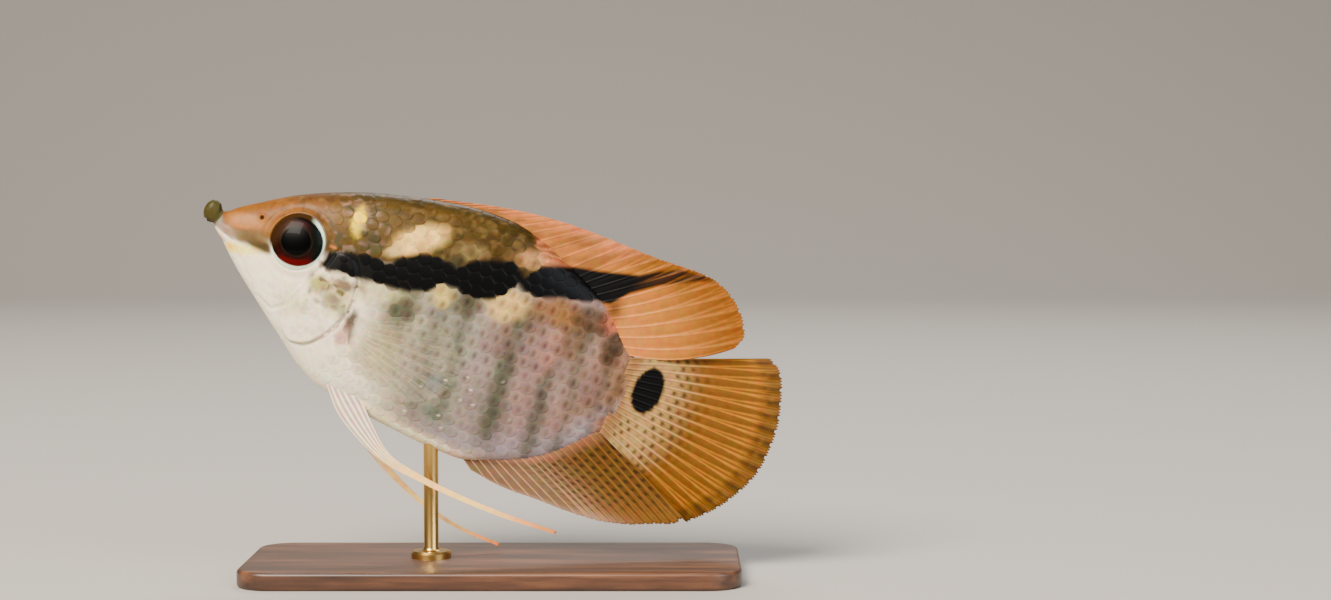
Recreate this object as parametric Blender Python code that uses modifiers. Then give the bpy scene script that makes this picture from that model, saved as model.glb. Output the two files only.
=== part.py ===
"""A flag cichlid as a still, life-size model: it swims with its head raised, on a plain display stand.

Metres, +Z up. The head points to -X, the tail to +X, and the fish's left side faces -Y.
The origin is the middle of the base's underside.

The fish is drawn in its own axis frame: along runs from the snout to the tail, up towards the back and
side towards the fish's right. Sizes there are shares of the standard length, from the snout tip to the
tail fin's root, which is how fish are measured.
"""

import math

import bmesh
import bpy
import numpy as np
from mathutils import Matrix, Vector

# Driving sizes, in metres and radians
STANDARD_LENGTH = 0.075
PITCH = math.radians(22.5)
SNOUT_X = -0.0473
SNOUT_Z = 0.0596
GAP = 0.0003

# The trunk's outline by share of the standard length:
# along, back, belly, half width, level of the widest point
BODY_STATIONS = (
    (0.000, 0.024, -0.008, 0.014, 0.006),
    (0.012, 0.040, -0.017, 0.023, 0.008),
    (0.033, 0.060, -0.032, 0.033, 0.010),
    (0.072, 0.089, -0.065, 0.045, 0.010),
    (0.151, 0.140, -0.121, 0.061, 0.010),
    (0.232, 0.180, -0.178, 0.073, 0.008),
    (0.302, 0.208, -0.226, 0.080, 0.004),
    (0.361, 0.226, -0.250, 0.084, 0.000),
    (0.449, 0.249, -0.264, 0.086, 0.000),
    (0.540, 0.266, -0.274, 0.084, 0.000),
    (0.617, 0.270, -0.279, 0.079, 0.000),
    (0.700, 0.254, -0.280, 0.070, 0.000),
    (0.765, 0.230, -0.262, 0.061, 0.000),
    (0.848, 0.198, -0.226, 0.047, 0.000),
    (0.896, 0.168, -0.195, 0.038, -0.002),
    (0.939, 0.130, -0.152, 0.030, -0.004),
    (0.972, 0.100, -0.116, 0.024, -0.005),
    (1.000, 0.086, -0.098, 0.018, -0.006),
)
BACK_FULLNESS = 0.46
BELLY_FULLNESS = 0.54
HEAD_RINGS = 17
TRUNK_RINGS = 26
HEAD_SHARE = 0.34
RING_POINTS = 36

# Head
EYE_ALONG, EYE_UP = 0.195, 0.044
EYE_RADIUS = 0.0052
EYE_DEPTH = 0.0025
EYE_SINK = 0.0013
EYE_SEGMENTS, EYE_RINGS = 20, 10
ORBIT_RIM_RADIUS = 0.0050
ORBIT_RIM_THICKNESS = 0.00055
ORBIT_RIM_POINTS = 28
NOSTRIL_ALONG, NOSTRIL_UP = 0.098, 0.062
NOSTRIL_RADIUS = 0.00042
NOSTRIL_DEPTH = 0.0009
MOUTH_CORNER = (0.056, -0.011)
MOUTH_TIP = (-0.030, 0.006)
JAW_CUT = (MOUTH_TIP, (0.010, 0.000), MOUTH_CORNER, (0.086, -0.042), (0.118, -0.084), (0.122, -0.150))
LIP_POINTS = 17
# Each lip: its front and height there in shares of the standard length, and its radius in metres
UPPER_LIP = (-0.0130, 0.0293, 0.00137)
LOWER_LIP = (0.008, -0.0070, 0.00065)
LIP_CORNER_SHARE = 0.5
LIP_WIDTH_SHARE = 0.92
HEAD_CUT = (
    (0.342, 0.320), (0.330, 0.190), (0.318, 0.060), (0.322, -0.060), (0.305, -0.170), (0.292, -0.320),
)
TAIL_CUT = ((0.905, 0.260), (0.925, 0.120), (0.940, 0.000), (0.932, -0.120), (0.915, -0.260))
GILL_COVER = (
    (0.292, 0.062), (0.324, 0.060), (0.350, 0.028), (0.361, -0.020), (0.353, -0.075), (0.329, -0.127),
    (0.290, -0.166), (0.250, -0.172), (0.224, -0.138), (0.221, -0.095), (0.232, -0.052), (0.260, -0.014),
    (0.280, 0.028),
)
GILL_COVER_POINTS = 32
GILL_COVER_RISE = 0.00025
GILL_COVER_DEPTH = 0.0009

# Fins. A span runs over the roots, and an edge over the tips, each from the head end on.
MEMBRANE = 0.0005
RAY_RIDGE = 0.0004
RAY_HALF_WIDTH = 0.24
TIP_NOTCH = 0.018
FIN_ROOT_THICKNESS = 0.0010
LONG_FIN_ROWS, SHORT_FIN_ROWS = 6, 5
DORSAL_SPINES, DORSAL_SOFT_RAYS = 15, 11
DORSAL_SPAN = (0.372, 0.976)
DORSAL_SPINE_SHARE, DORSAL_SPINE_ROOT_SHARE, DORSAL_SPINE_EDGE_SHARE = 0.60, 0.72, 0.56
DORSAL_EDGE = (
    (0.440, 0.2500), (0.493, 0.2640), (0.581, 0.2870), (0.672, 0.3040), (0.766, 0.3140), (0.863, 0.3170),
    (0.963, 0.3180), (1.044, 0.3250), (1.093, 0.3235), (1.136, 0.3100), (1.166, 0.2890), (1.190, 0.2620),
    (1.207, 0.2270), (1.197, 0.1970),
)
DORSAL_BOW = (0.006, -0.018)
# A sway is a wave along the fin's edge, to the far side first: its height in metres and its turn in radians
DORSAL_SWAY = (0.0010, 5)
ANAL_SPINES, ANAL_SOFT_RAYS = 8, 12
ANAL_SPAN = (0.715, 0.986)
ANAL_SPINE_SHARE, ANAL_SPINE_ROOT_SHARE, ANAL_SPINE_EDGE_SHARE = 0.40, 0.50, 0.56
ANAL_EDGE = (
    (0.748, -0.2920), (0.824, -0.3000), (0.919, -0.2960), (1.005, -0.2935), (1.058, -0.2870),
    (1.114, -0.2740), (1.182, -0.2460), (1.226, -0.2260), (1.238, -0.2095),
)
ANAL_SWAY = (-0.0008, 4)
TAIL_RAYS = 16
TAIL_ROOT = (0.083, -0.097)
TAIL_ROOT_THICKNESS = 0.0020
TAIL_EDGE = (
    (1.284, 0.2030), (1.311, 0.1895), (1.335, 0.1500), (1.354, 0.0970), (1.363, 0.0450), (1.364, -0.0060),
    (1.357, -0.0610), (1.336, -0.1130), (1.306, -0.1590), (1.262, -0.2110),
)
TAIL_SWAY = 0.0030
PECTORAL_RAYS = 13
PECTORAL_ROOT = ((0.366, -0.070), (0.384, -0.122))
PECTORAL_EDGE = (
    (0.520, 0.002), (0.578, -0.006), (0.625, -0.038), (0.646, -0.088), (0.628, -0.142), (0.570, -0.186),
    (0.500, -0.196),
)
PECTORAL_SPREAD = 0.0052
PECTORAL_SINK = 0.0005
PECTORAL_ROOT_THICKNESS = 0.0008
PELVIC_RAYS = 6
PELVIC_ROWS = 13
PELVIC_ROOT_SIDE = 0.0018
PELVIC_ROOT_THICKNESS = 0.0010
# Each pelvic fin: its middle line as along, up and outward spread, and its width there, in metres
PELVIC_LEFT = (
    (0.388, -0.216, 0.0000, 0.0034), (0.438, -0.257, 0.0006, 0.0045), (0.492, -0.296, 0.0012, 0.0034),
    (0.558, -0.331, 0.0020, 0.0018), (0.651, -0.345, 0.0026, 0.0011), (0.750, -0.350, 0.0030, 0.0009),
    (0.848, -0.349, 0.0034, 0.0008), (0.980, -0.339, 0.0038, 0.0005),
)
PELVIC_RIGHT = (
    (0.388, -0.216, 0.0000, 0.0034), (0.434, -0.261, 0.0006, 0.0042), (0.486, -0.310, 0.0012, 0.0028),
    (0.550, -0.359, 0.0020, 0.0013), (0.608, -0.388, 0.0024, 0.0009), (0.666, -0.410, 0.0028, 0.0008),
    (0.722, -0.426, 0.0030, 0.0007), (0.776, -0.434, 0.0032, 0.0006), (0.872, -0.436, 0.0036, 0.0005),
)

# Stand
BASE_LENGTH, BASE_DEPTH, BASE_HEIGHT = 0.084, 0.036, 0.003
BASE_CORNER = 0.006
BASE_EDGE = 0.0006
ROD_RADIUS = 0.00125
ROD_X = -0.0107
ROD_FOOT_RADIUS, ROD_FOOT_HEIGHT = 0.0034, 0.0012
ROD_SINK = 0.0030

# Colours as red, green and blue, roughness and metallic value
FINISHES = {
    "olive_skin": ((0.30, 0.24, 0.12), 0.45, 0.0),
    "silver_skin": ((0.72, 0.70, 0.64), 0.35, 0.1),
    "fin_membrane": ((0.62, 0.47, 0.24), 0.45, 0.0),
    "pale_fin": ((0.86, 0.80, 0.68), 0.45, 0.0),
    "eye": ((0.12, 0.02, 0.02), 0.10, 0.0),
    "walnut": ((0.16, 0.09, 0.05), 0.50, 0.0),
    "brass": ((0.75, 0.58, 0.30), 0.30, 1.0),
}


def clear_scene():
    """Removes what the startup file holds."""
    for obj in list(bpy.data.objects):
        bpy.data.objects.remove(obj, do_unlink=True)


def finish(name):
    """The Principled material of that name."""
    found = bpy.data.materials.get(name)
    if found:
        return found
    colour, roughness, metallic = FINISHES[name]
    made = bpy.data.materials.new(name)
    made.use_nodes = True
    shader = made.node_tree.nodes["Principled BSDF"]
    shader.inputs["Base Color"].default_value = (*colour, 1.0)
    shader.inputs["Roughness"].default_value = roughness
    shader.inputs["Metallic"].default_value = metallic
    made.diffuse_color = (*colour, 1.0)
    return made


def fish_matrix():
    """Carries metres in the fish's axis frame (along, side, up) into the part's frame."""
    turn = Matrix.Rotation(PITCH, 4, "Y")
    return Matrix.Translation((SNOUT_X, 0, SNOUT_Z)) @ turn


def add_mesh(name, points, faces, collection):
    """A mesh object from points in the part's frame."""
    mesh = bpy.data.meshes.new(name)
    mesh.from_pydata([tuple(p) for p in points], [], [tuple(int(i) for i in f) for f in faces])
    mesh.update()
    obj = bpy.data.objects.new(name, mesh)
    collection.objects.link(obj)
    return obj


def cubic_slopes(x, y):
    """Slopes of a smooth curve through y(x) that never overshoots its points."""
    steps = np.diff(x)
    rises = np.diff(y) / steps
    slopes = np.zeros_like(y)
    same_way = rises[:-1] * rises[1:] > 0
    before, after = rises[:-1][same_way], rises[1:][same_way]
    slopes[1:-1][same_way] = 2 * before * after / (before + after)
    slopes[0], slopes[-1] = rises[0], rises[-1]
    return slopes


def cubic(x, y, slopes, at):
    """The value at each place of the smooth curve with those slopes."""
    at = np.clip(at, x[0], x[-1])
    i = np.clip(np.searchsorted(x, at, side="right") - 1, 0, len(x) - 2)
    step = x[i + 1] - x[i]
    t = (at - x[i]) / step
    start = (1 + 2 * t) * (1 - t) ** 2 * y[i] + t * (1 - t) ** 2 * step * slopes[i]
    end = t * t * (3 - 2 * t) * y[i + 1] - t * t * (1 - t) * step * slopes[i + 1]
    return start + end


def smooth_path(points, shares, closed=False):
    """Places at those shares of the length of a smooth path through the points, one row each."""
    points = np.asarray(points, float)
    if closed:
        points = np.vstack([points[-3:], points, points[:4]])
    lengths = np.concatenate([[0], np.cumsum(np.linalg.norm(np.diff(points[:, :2], axis=0), axis=1))])
    start, end = (lengths[3], lengths[-4]) if closed else (0, lengths[-1])
    at = start + np.asarray(shares, float) * (end - start)
    columns = []
    for values in points.T:
        slopes = np.gradient(values, lengths)
        columns.append(cubic(lengths, values, slopes, at))
    return np.stack(columns, axis=1)


def body_profile(along):
    """Back, belly, half width and widest level, in shares of the standard length, at each share along."""
    table = np.array(BODY_STATIONS)
    places = table[:, 0]
    return [cubic(places, table[:, i], cubic_slopes(places, table[:, i]), along) for i in range(1, 5)]


def body_side(along, up):
    """Half width of the body, in metres, at a place in its side view."""
    back, belly, width, level = body_profile(np.asarray(along, float))
    above = up > level
    reach = np.where(above, back - level, level - belly)
    fullness = np.where(above, BACK_FULLNESS, BELLY_FULLNESS)
    height = np.clip((up - level) / reach, -1, 1)
    return width * (1 - height**2) ** fullness * STANDARD_LENGTH


def body_rings():
    """Shares along of the body's rings, closer together on the head."""
    head = HEAD_SHARE * np.linspace(0, 1, HEAD_RINGS, endpoint=False) ** 1.25
    return np.concatenate([head, np.linspace(HEAD_SHARE, 1, TRUNK_RINGS)])


def loft_body(name, growth, collection):
    """The whole body as rings carried from snout to tail, its outline and width moved out by growth."""
    along = body_rings()
    back, belly, width, level = (v[:, None] * STANDARD_LENGTH for v in body_profile(along))
    along = along[:, None] * STANDARD_LENGTH
    along[0] -= growth
    along[-1] += growth
    turn = np.linspace(0, 2 * math.pi, RING_POINTS, endpoint=False)[None, :]
    rise = np.sin(turn)
    up = level + np.where(rise > 0, back - level + growth, level - belly + growth) * rise
    fullness = np.where(rise > 0, BACK_FULLNESS, BELLY_FULLNESS)
    side = np.sign(np.cos(turn)) * (width + growth) * np.abs(np.cos(turn)) ** (2 * fullness)
    points = np.stack([np.broadcast_to(along, up.shape), side, up], axis=-1)
    rings, around = up.shape
    index = np.arange(rings * around).reshape(rings, around)
    beside = np.roll(index, -1, axis=1)
    quads = np.stack([index[:-1], beside[:-1], beside[1:], index[1:]], axis=-1).reshape(-1, 4)
    faces = [list(q) for q in quads] + [list(index[0][::-1]), list(index[-1])]
    obj = add_mesh(name, points.reshape(-1, 3), faces, collection)
    face_outward(obj, triangles=True)
    obj.data.transform(fish_matrix())
    return obj


def face_outward(obj, triangles=False):
    """Turns every face outward and, if asked, splits the faces into triangles."""
    work = bmesh.new()
    work.from_mesh(obj.data)
    if triangles:
        bmesh.ops.triangulate(work, faces=work.faces[:])
    bmesh.ops.recalc_face_normals(work, faces=work.faces[:])
    work.to_mesh(obj.data)
    work.free()


def curve_to_mesh(obj, collection):
    """Replaces a curve object with a mesh object whose loose caps are welded."""
    graph = bpy.context.evaluated_depsgraph_get()
    mesh = bpy.data.meshes.new_from_object(obj.evaluated_get(graph))
    work = bmesh.new()
    work.from_mesh(mesh)
    bmesh.ops.remove_doubles(work, verts=work.verts[:], dist=1e-6)
    bmesh.ops.recalc_face_normals(work, faces=work.faces[:])
    work.to_mesh(mesh)
    work.free()
    name = obj.name
    made = bpy.data.objects.new(name, mesh)
    made.matrix_world = obj.matrix_world
    bpy.data.objects.remove(obj, do_unlink=True)
    made.name = name
    collection.objects.link(made)
    return made


def poly_curve(name, points, collection, closed, flat):
    """A curve object with one straight-sided spline through the points."""
    data = bpy.data.curves.new(name, "CURVE")
    data.dimensions = "2D" if flat else "3D"
    spline = data.splines.new("POLY")
    spline.points.add(len(points) - 1)
    for point, place in zip(spline.points, points):
        point.co = (*place[:3], 1.0) if not flat else (place[0], place[1], 0.0, 1.0)
    spline.use_cyclic_u = closed
    obj = bpy.data.objects.new(name, data)
    collection.objects.link(obj)
    return obj


def side_view_plate(name, outline, side_low, side_high, collection):
    """A closed plate from an outline in the fish's side view, in metres, between two side distances."""
    obj = poly_curve(name, outline, collection, True, True)
    obj.data.fill_mode = "BOTH"
    obj.data.extrude = (side_high - side_low) / 2
    upright = Matrix.Rotation(math.radians(90), 4, "X")
    centre = Matrix.Translation((0, (side_high + side_low) / 2, 0))
    obj.matrix_world = fish_matrix() @ centre @ upright
    bpy.context.view_layer.update()
    made = curve_to_mesh(obj, collection)
    made.data.transform(made.matrix_world)
    made.matrix_world = Matrix.Identity(4)
    face_outward(made)
    return made


def widened(line, width):
    """The outline of a strip of that width along an open line."""
    line = np.asarray(line, float)
    heading = np.gradient(line, axis=0)
    heading /= np.linalg.norm(heading, axis=1)[:, None]
    across = np.stack([-heading[:, 1], heading[:, 0]], axis=1) * width / 2
    return np.vstack([line + across, (line - across)[::-1]])


def grown_outline(outline, distance):
    """A closed outline, run anticlockwise or clockwise, moved outward by distance."""
    outline = np.asarray(outline, float)
    heading = np.roll(outline, -1, axis=0) - np.roll(outline, 1, axis=0)
    heading /= np.linalg.norm(heading, axis=1)[:, None]
    after = np.roll(outline, -1, axis=0)
    area = (outline[:, 0] * after[:, 1] - outline[:, 1] * after[:, 0]).sum()
    outward = np.stack([heading[:, 1], -heading[:, 0]], axis=1) * np.sign(area)
    return outline + outward * distance


def boolean(obj, operation, tools, solver="EXACT"):
    """Applies one Boolean with the tools to the object and removes the tools."""
    helpers = bpy.data.collections.new("boolean_tools")
    bpy.context.scene.collection.children.link(helpers)
    for tool in tools:
        for held in list(tool.users_collection):
            held.objects.unlink(tool)
        helpers.objects.link(tool)
    modifier = obj.modifiers.new(operation.lower(), "BOOLEAN")
    modifier.operation = operation
    modifier.operand_type = "COLLECTION"
    modifier.collection = helpers
    modifier.solver = solver
    bpy.context.view_layer.update()
    graph = bpy.context.evaluated_depsgraph_get()
    mesh = bpy.data.meshes.new_from_object(obj.evaluated_get(graph))
    obj.modifiers.clear()
    old = obj.data
    obj.data = mesh
    bpy.data.meshes.remove(old)
    for tool in tools:
        bpy.data.objects.remove(tool, do_unlink=True)
    bpy.data.collections.remove(helpers)


def loose_pieces(mesh):
    """Lists of vertex indices, one for each connected surface."""
    work = bmesh.new()
    work.from_mesh(mesh)
    work.verts.ensure_lookup_table()
    seen, pieces = set(), []
    for start in work.verts:
        if start.index in seen:
            continue
        seen.add(start.index)
        stack, piece = [start], []
        while stack:
            vertex = stack.pop()
            piece.append(vertex.index)
            for edge in vertex.link_edges:
                other = edge.other_vert(vertex)
                if other.index not in seen:
                    seen.add(other.index)
                    stack.append(other)
        pieces.append(piece)
    work.free()
    return pieces


def piece_of(obj, name, keep, collection):
    """A new object with only the vertices listed in keep."""
    keep = set(keep)
    mesh = obj.data.copy()
    work = bmesh.new()
    work.from_mesh(mesh)
    work.verts.ensure_lookup_table()
    bmesh.ops.delete(work, geom=[v for v in work.verts if v.index not in keep], context="VERTS")
    work.to_mesh(mesh)
    work.free()
    made = bpy.data.objects.new(name, mesh)
    collection.objects.link(made)
    return made


def volume_of(mesh, vertices):
    """Signed volume of the closed surface made of those vertices."""
    chosen = set(vertices)
    mesh.calc_loop_triangles()
    points = np.array([v.co for v in mesh.vertices])
    corners = [t.vertices[:] for t in mesh.loop_triangles if t.vertices[0] in chosen]
    return float(np.linalg.det(points[np.array(corners)]).sum() / 6) if corners else 0.0


def keep_largest(obj):
    """Leaves only the object's largest closed surface."""
    pieces = loose_pieces(obj.data)
    if len(pieces) == 1:
        return
    best = max(pieces, key=lambda piece: volume_of(obj.data, piece))
    keep = set(best)
    work = bmesh.new()
    work.from_mesh(obj.data)
    work.verts.ensure_lookup_table()
    bmesh.ops.delete(work, geom=[v for v in work.verts if v.index not in keep], context="VERTS")
    work.to_mesh(obj.data)
    work.free()


def weld(obj):
    """Merges points that a Boolean left close together, as far as the surface stays closed."""
    for distance in (2e-5, 5e-6, 1e-6):
        work = bmesh.new()
        work.from_mesh(obj.data)
        bmesh.ops.triangulate(work, faces=work.faces[:])
        bmesh.ops.remove_doubles(work, verts=work.verts[:], dist=distance)
        bmesh.ops.dissolve_degenerate(work, edges=work.edges[:], dist=distance / 2)
        closed = all(edge.is_manifold for edge in work.edges)
        if closed:
            work.to_mesh(obj.data)
        work.free()
        if closed:
            return


def dressed(obj, material, smooth_angle=40):
    """Gives the object its material and smooth shading up to an angle."""
    obj.data.materials.clear()
    obj.data.materials.append(finish(material))
    obj.data.shade_smooth()
    obj.data.set_sharp_from_angle(angle=math.radians(smooth_angle))
    return obj


def in_metres(outline):
    """Shares of the standard length as metres."""
    return np.asarray(outline, float) * STANDARD_LENGTH


def cut_wall(name, line, collection):
    """A thin wall right through the fish along a line in its side view."""
    shares = np.linspace(0, 1, 3 * len(line))
    smooth = in_metres(smooth_path(line, shares))
    reach = STANDARD_LENGTH / 4
    return side_view_plate(name, widened(smooth, GAP), -reach, reach, collection)


def part_the_body(collection):
    """The body cut into lower jaw, head, torso and tail stem by three thin walls."""
    body = loft_body("body", 0.0, collection)
    jaw_line = in_metres(JAW_CUT)
    reach = STANDARD_LENGTH / 4
    walls = [
        side_view_plate("jaw_wall", widened(jaw_line, GAP), -reach, reach, collection),
        cut_wall("head_wall", HEAD_CUT, collection),
        cut_wall("tail_wall", TAIL_CUT, collection),
    ]
    boolean(body, "DIFFERENCE", walls)
    points = np.array([v.co for v in body.data.vertices])
    pieces = sorted(loose_pieces(body.data), key=len)[-4:]
    pieces.sort(key=lambda piece: points[piece, 0].mean())
    names = ("lower_jaw", "head", "torso", "tail_stem")
    made = [piece_of(body, name, piece, collection) for name, piece in zip(names, pieces)]
    bpy.data.objects.remove(body, do_unlink=True)
    return made


def ellipsoid(name, centre, axis, radius, depth, collection, segments=EYE_SEGMENTS, rings=EYE_RINGS):
    """A closed round ellipsoid in the fish's axis frame, its short way along the axis."""
    work = bmesh.new()
    bmesh.ops.create_uvsphere(work, u_segments=segments, v_segments=rings, radius=1.0)
    bmesh.ops.scale(work, verts=work.verts[:], vec=(radius, radius, depth))
    turn = Vector(axis).to_track_quat("Z", "Y").to_matrix()
    bmesh.ops.rotate(work, verts=work.verts[:], matrix=turn)
    bmesh.ops.translate(work, verts=work.verts[:], vec=centre)
    bmesh.ops.triangulate(work, faces=work.faces[:])
    mesh = bpy.data.meshes.new(name)
    work.to_mesh(mesh)
    work.free()
    mesh.transform(fish_matrix())
    obj = bpy.data.objects.new(name, mesh)
    collection.objects.link(obj)
    return obj


def on_body(along, up, sign):
    """The place on the body's side at shares along and up, and the way out of the body there."""
    step = 0.004
    alongs = np.array([along, along - step, along + step, along, along])
    around = body_side(alongs, np.array([up, up, up, up - step, up + step]))
    slopes = (around[[2, 4]] - around[[1, 3]]) / (2 * step * STANDARD_LENGTH)
    place = Vector((along * STANDARD_LENGTH, sign * around[0], up * STANDARD_LENGTH))
    return place, Vector((-slopes[0], sign, -slopes[1])).normalized()


def eyeball(name, sign, growth, collection):
    """One eye, or the space that it sits in when growth is the gap round it."""
    place, axis = on_body(EYE_ALONG, EYE_UP, sign)
    centre = place - axis * EYE_SINK
    return ellipsoid(name, centre, axis, EYE_RADIUS + growth, EYE_DEPTH + growth, collection)


def tube(name, path, radii, collection, closed=False, resolution=2):
    """A round tube of varying thickness along a path in the fish's axis frame, in metres."""
    obj = poly_curve(name, path, collection, closed, False)
    obj.data.bevel_depth = 1.0
    obj.data.bevel_resolution = resolution
    obj.data.use_fill_caps = not closed
    for point, radius in zip(obj.data.splines[0].points, radii):
        point.radius = radius
    bpy.context.view_layer.update()
    made = curve_to_mesh(obj, collection)
    made.data.transform(fish_matrix())
    face_outward(made, triangles=True)
    return made


def orbit_rim(name, sign, collection):
    """The fleshy rim round an eye: a ring laid on the side of the head."""
    turn = np.linspace(0, 2 * math.pi, ORBIT_RIM_POINTS, endpoint=False)
    place, axis = on_body(EYE_ALONG, EYE_UP, sign)
    forward = Vector((0, 0, 1)).cross(axis).normalized()
    upward = axis.cross(forward)
    ring = [place + (forward * math.cos(t) + upward * math.sin(t)) * ORBIT_RIM_RADIUS for t in turn]
    path = [(p.x, sign * float(body_side(p.x / STANDARD_LENGTH, p.z / STANDARD_LENGTH)), p.z) for p in ring]
    return tube(name, path, [ORBIT_RIM_THICKNESS] * len(path), collection, closed=True)


def lip(name, shape, collection):
    """A lip: a tube from one corner of the mouth round the snout to the other, thickest in front."""
    front, height, radius = shape
    corner_along, corner_up = MOUTH_CORNER
    share = np.linspace(-1, 1, LIP_POINTS)
    bend = np.sqrt(1 - share**2)
    rise = np.sign(height) * radius * LIP_CORNER_SHARE / STANDARD_LENGTH
    along = corner_along + (front - corner_along) * bend
    up = (corner_up + rise) * (1 - bend) + height * bend
    side = float(body_side(corner_along, corner_up)) * LIP_WIDTH_SHARE * share
    path = np.stack([along * STANDARD_LENGTH, side, up * STANDARD_LENGTH], axis=1)
    radii = radius * (LIP_CORNER_SHARE + (1 - LIP_CORNER_SHARE) * bend)
    return tube(name, path, radii, collection)


def gill_outline():
    """The gill cover's outline in side view, in metres."""
    shares = np.linspace(0, 1, GILL_COVER_POINTS, endpoint=False)
    return in_metres(smooth_path(GILL_COVER, shares, closed=True))


def gill_cover(name, sign, collection):
    """A plate that follows the head's side and stands a little proud of it."""
    low, high = sorted((sign * 0.0015, sign * STANDARD_LENGTH / 5))
    plate = side_view_plate(name, gill_outline(), low, high, collection)
    boolean(plate, "INTERSECT", [loft_body("outer", GILL_COVER_RISE, collection)])
    boolean(plate, "DIFFERENCE", [loft_body("inner", -GILL_COVER_DEPTH, collection)])
    weld(plate)
    keep_largest(plate)
    return dressed(plate, "silver_skin")


def gill_recess(name, sign, collection):
    """The shallow seat of a gill cover, larger than it by the gap all round."""
    low, high = sorted((sign * 0.0012, sign * STANDARD_LENGTH / 5))
    seat = side_view_plate(name, grown_outline(gill_outline(), GAP), low, high, collection)
    boolean(seat, "DIFFERENCE", [loft_body("floor", -GILL_COVER_DEPTH - GAP, collection)])
    keep_largest(seat)
    return seat


def nostril(name, sign, collection):
    """A small pit on the snout."""
    place, axis = on_body(NOSTRIL_ALONG, NOSTRIL_UP, sign)
    return ellipsoid(name, place, axis, NOSTRIL_RADIUS, NOSTRIL_DEPTH, collection, segments=10, rings=6)


def make_body(collection):
    """Lower jaw, head, torso, tail stem, gill covers and eyes."""
    lower_jaw, head, torso, tail_stem = part_the_body(collection)
    rims = [orbit_rim(f"rim_{sign}", sign, collection) for sign in (-1, 1)]
    boolean(head, "UNION", [lip("upper_lip", UPPER_LIP, collection), *rims])
    boolean(lower_jaw, "UNION", [lip("lower_lip", LOWER_LIP, collection)])
    hollows = []
    for sign in (-1, 1):
        hollows += [
            eyeball(f"socket_{sign}", sign, GAP, collection),
            nostril(f"nostril_{sign}", sign, collection),
            gill_recess(f"head_seat_{sign}", sign, collection),
        ]
    boolean(head, "DIFFERENCE", hollows)
    boolean(torso, "DIFFERENCE", [gill_recess(f"torso_seat_{sign}", sign, collection) for sign in (-1, 1)])
    for piece, material in (
        (lower_jaw, "silver_skin"), (head, "olive_skin"), (torso, "silver_skin"), (tail_stem, "silver_skin")
    ):
        weld(piece)
        keep_largest(piece)
        dressed(piece, material)
    for sign, name in ((-1, "left"), (1, "right")):
        gill_cover(f"gill_cover_{name}", sign, collection)
        dressed(eyeball(f"eye_{name}", sign, 0.0, collection), "eye")


def ray_columns(count):
    """Places of a fin's columns by share of its span, and how much of a ray's ridge each one carries."""
    places, ridges = [], []
    for ray in range(count):
        for offset, ridge in ((-RAY_HALF_WIDTH, 0.0), (0.0, 1.0), (RAY_HALF_WIDTH, 0.0)):
            place = (ray + offset) / (count - 1)
            if 0 <= place <= 1:
                places.append(place)
                ridges.append(ridge)
    return np.array(places), np.array(ridges)


def sheet(name, middle, thickness, collection):
    """A closed thin solid round a grid of middle points, split into triangles alike on both faces."""
    half = np.zeros_like(middle)
    half[..., 1] = thickness / 2
    columns, rows = thickness.shape
    near = np.arange(columns * rows).reshape(columns, rows)
    far = near + columns * rows
    faces = []
    for i in range(columns - 1):
        for j in range(rows - 1):
            a, b, c, d = near[i, j], near[i + 1, j], near[i + 1, j + 1], near[i, j + 1]
            faces += [(a, b, c), (a, c, d)]
            a, b, c, d = far[i, j], far[i + 1, j], far[i + 1, j + 1], far[i, j + 1]
            faces += [(a, c, b), (a, d, c)]
    rim = [(i, 0) for i in range(columns)] + [(columns - 1, j) for j in range(1, rows)]
    rim += [(i, rows - 1) for i in range(columns - 2, -1, -1)] + [(0, j) for j in range(rows - 2, 0, -1)]
    for here, after in zip(rim, rim[1:] + rim[:1]):
        faces += [(near[here], far[here], far[after]), (near[here], far[after], near[after])]
    points = np.vstack([(middle + half).reshape(-1, 3), (middle - half).reshape(-1, 3)])
    obj = add_mesh(name, points, faces, collection)
    face_outward(obj)
    obj.data.transform(fish_matrix())
    return obj


def fin(name, roots, tips, bows, ridges, rows, root_thickness, material, collection):
    """A fin whose rays run from roots to tips. Its membrane ends a little short of the tips.

    The place at share v of a ray is root + v (tip - root) + 4 v (1 - v) bow. The thickness falls from the
    root's to the membrane's, and each ray stands proud of it.
    """
    v = np.linspace(0, 1, rows)[None, :, None]
    reach = 1 - TIP_NOTCH * (1 - ridges)
    tips = roots + (tips - roots) * reach[:, None]
    middle = roots[:, None] * (1 - v) + tips[:, None] * v + 4 * v * (1 - v) * bows[:, None]
    fall = np.clip(1 - 4 * v[..., 0], 0, 1)
    ridge = RAY_RIDGE * ridges[:, None] * (1 - 0.6 * v[..., 0])
    thickness = MEMBRANE + (root_thickness - MEMBRANE) * fall + ridge
    return dressed(sheet(name, middle, thickness, collection), material, 30)


def side_view_points(outline, side=0.0):
    """Points in the axis frame, in metres, from shares in side view."""
    outline = in_metres(outline)
    return np.stack([outline[:, 0], np.full(len(outline), side), outline[:, 1]], axis=1)


def two_part_shares(places, first, first_edge):
    """Shares of the edge for rays whose first part of the span takes a share of its own of the edge."""
    return np.interp(places, (0, first, 1), (0, first_edge, 1))


def sway(places, wave):
    """How far to the side a fin's edge stands at each share of its span."""
    height, turn = wave
    return height * np.sin(places * turn)


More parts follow.
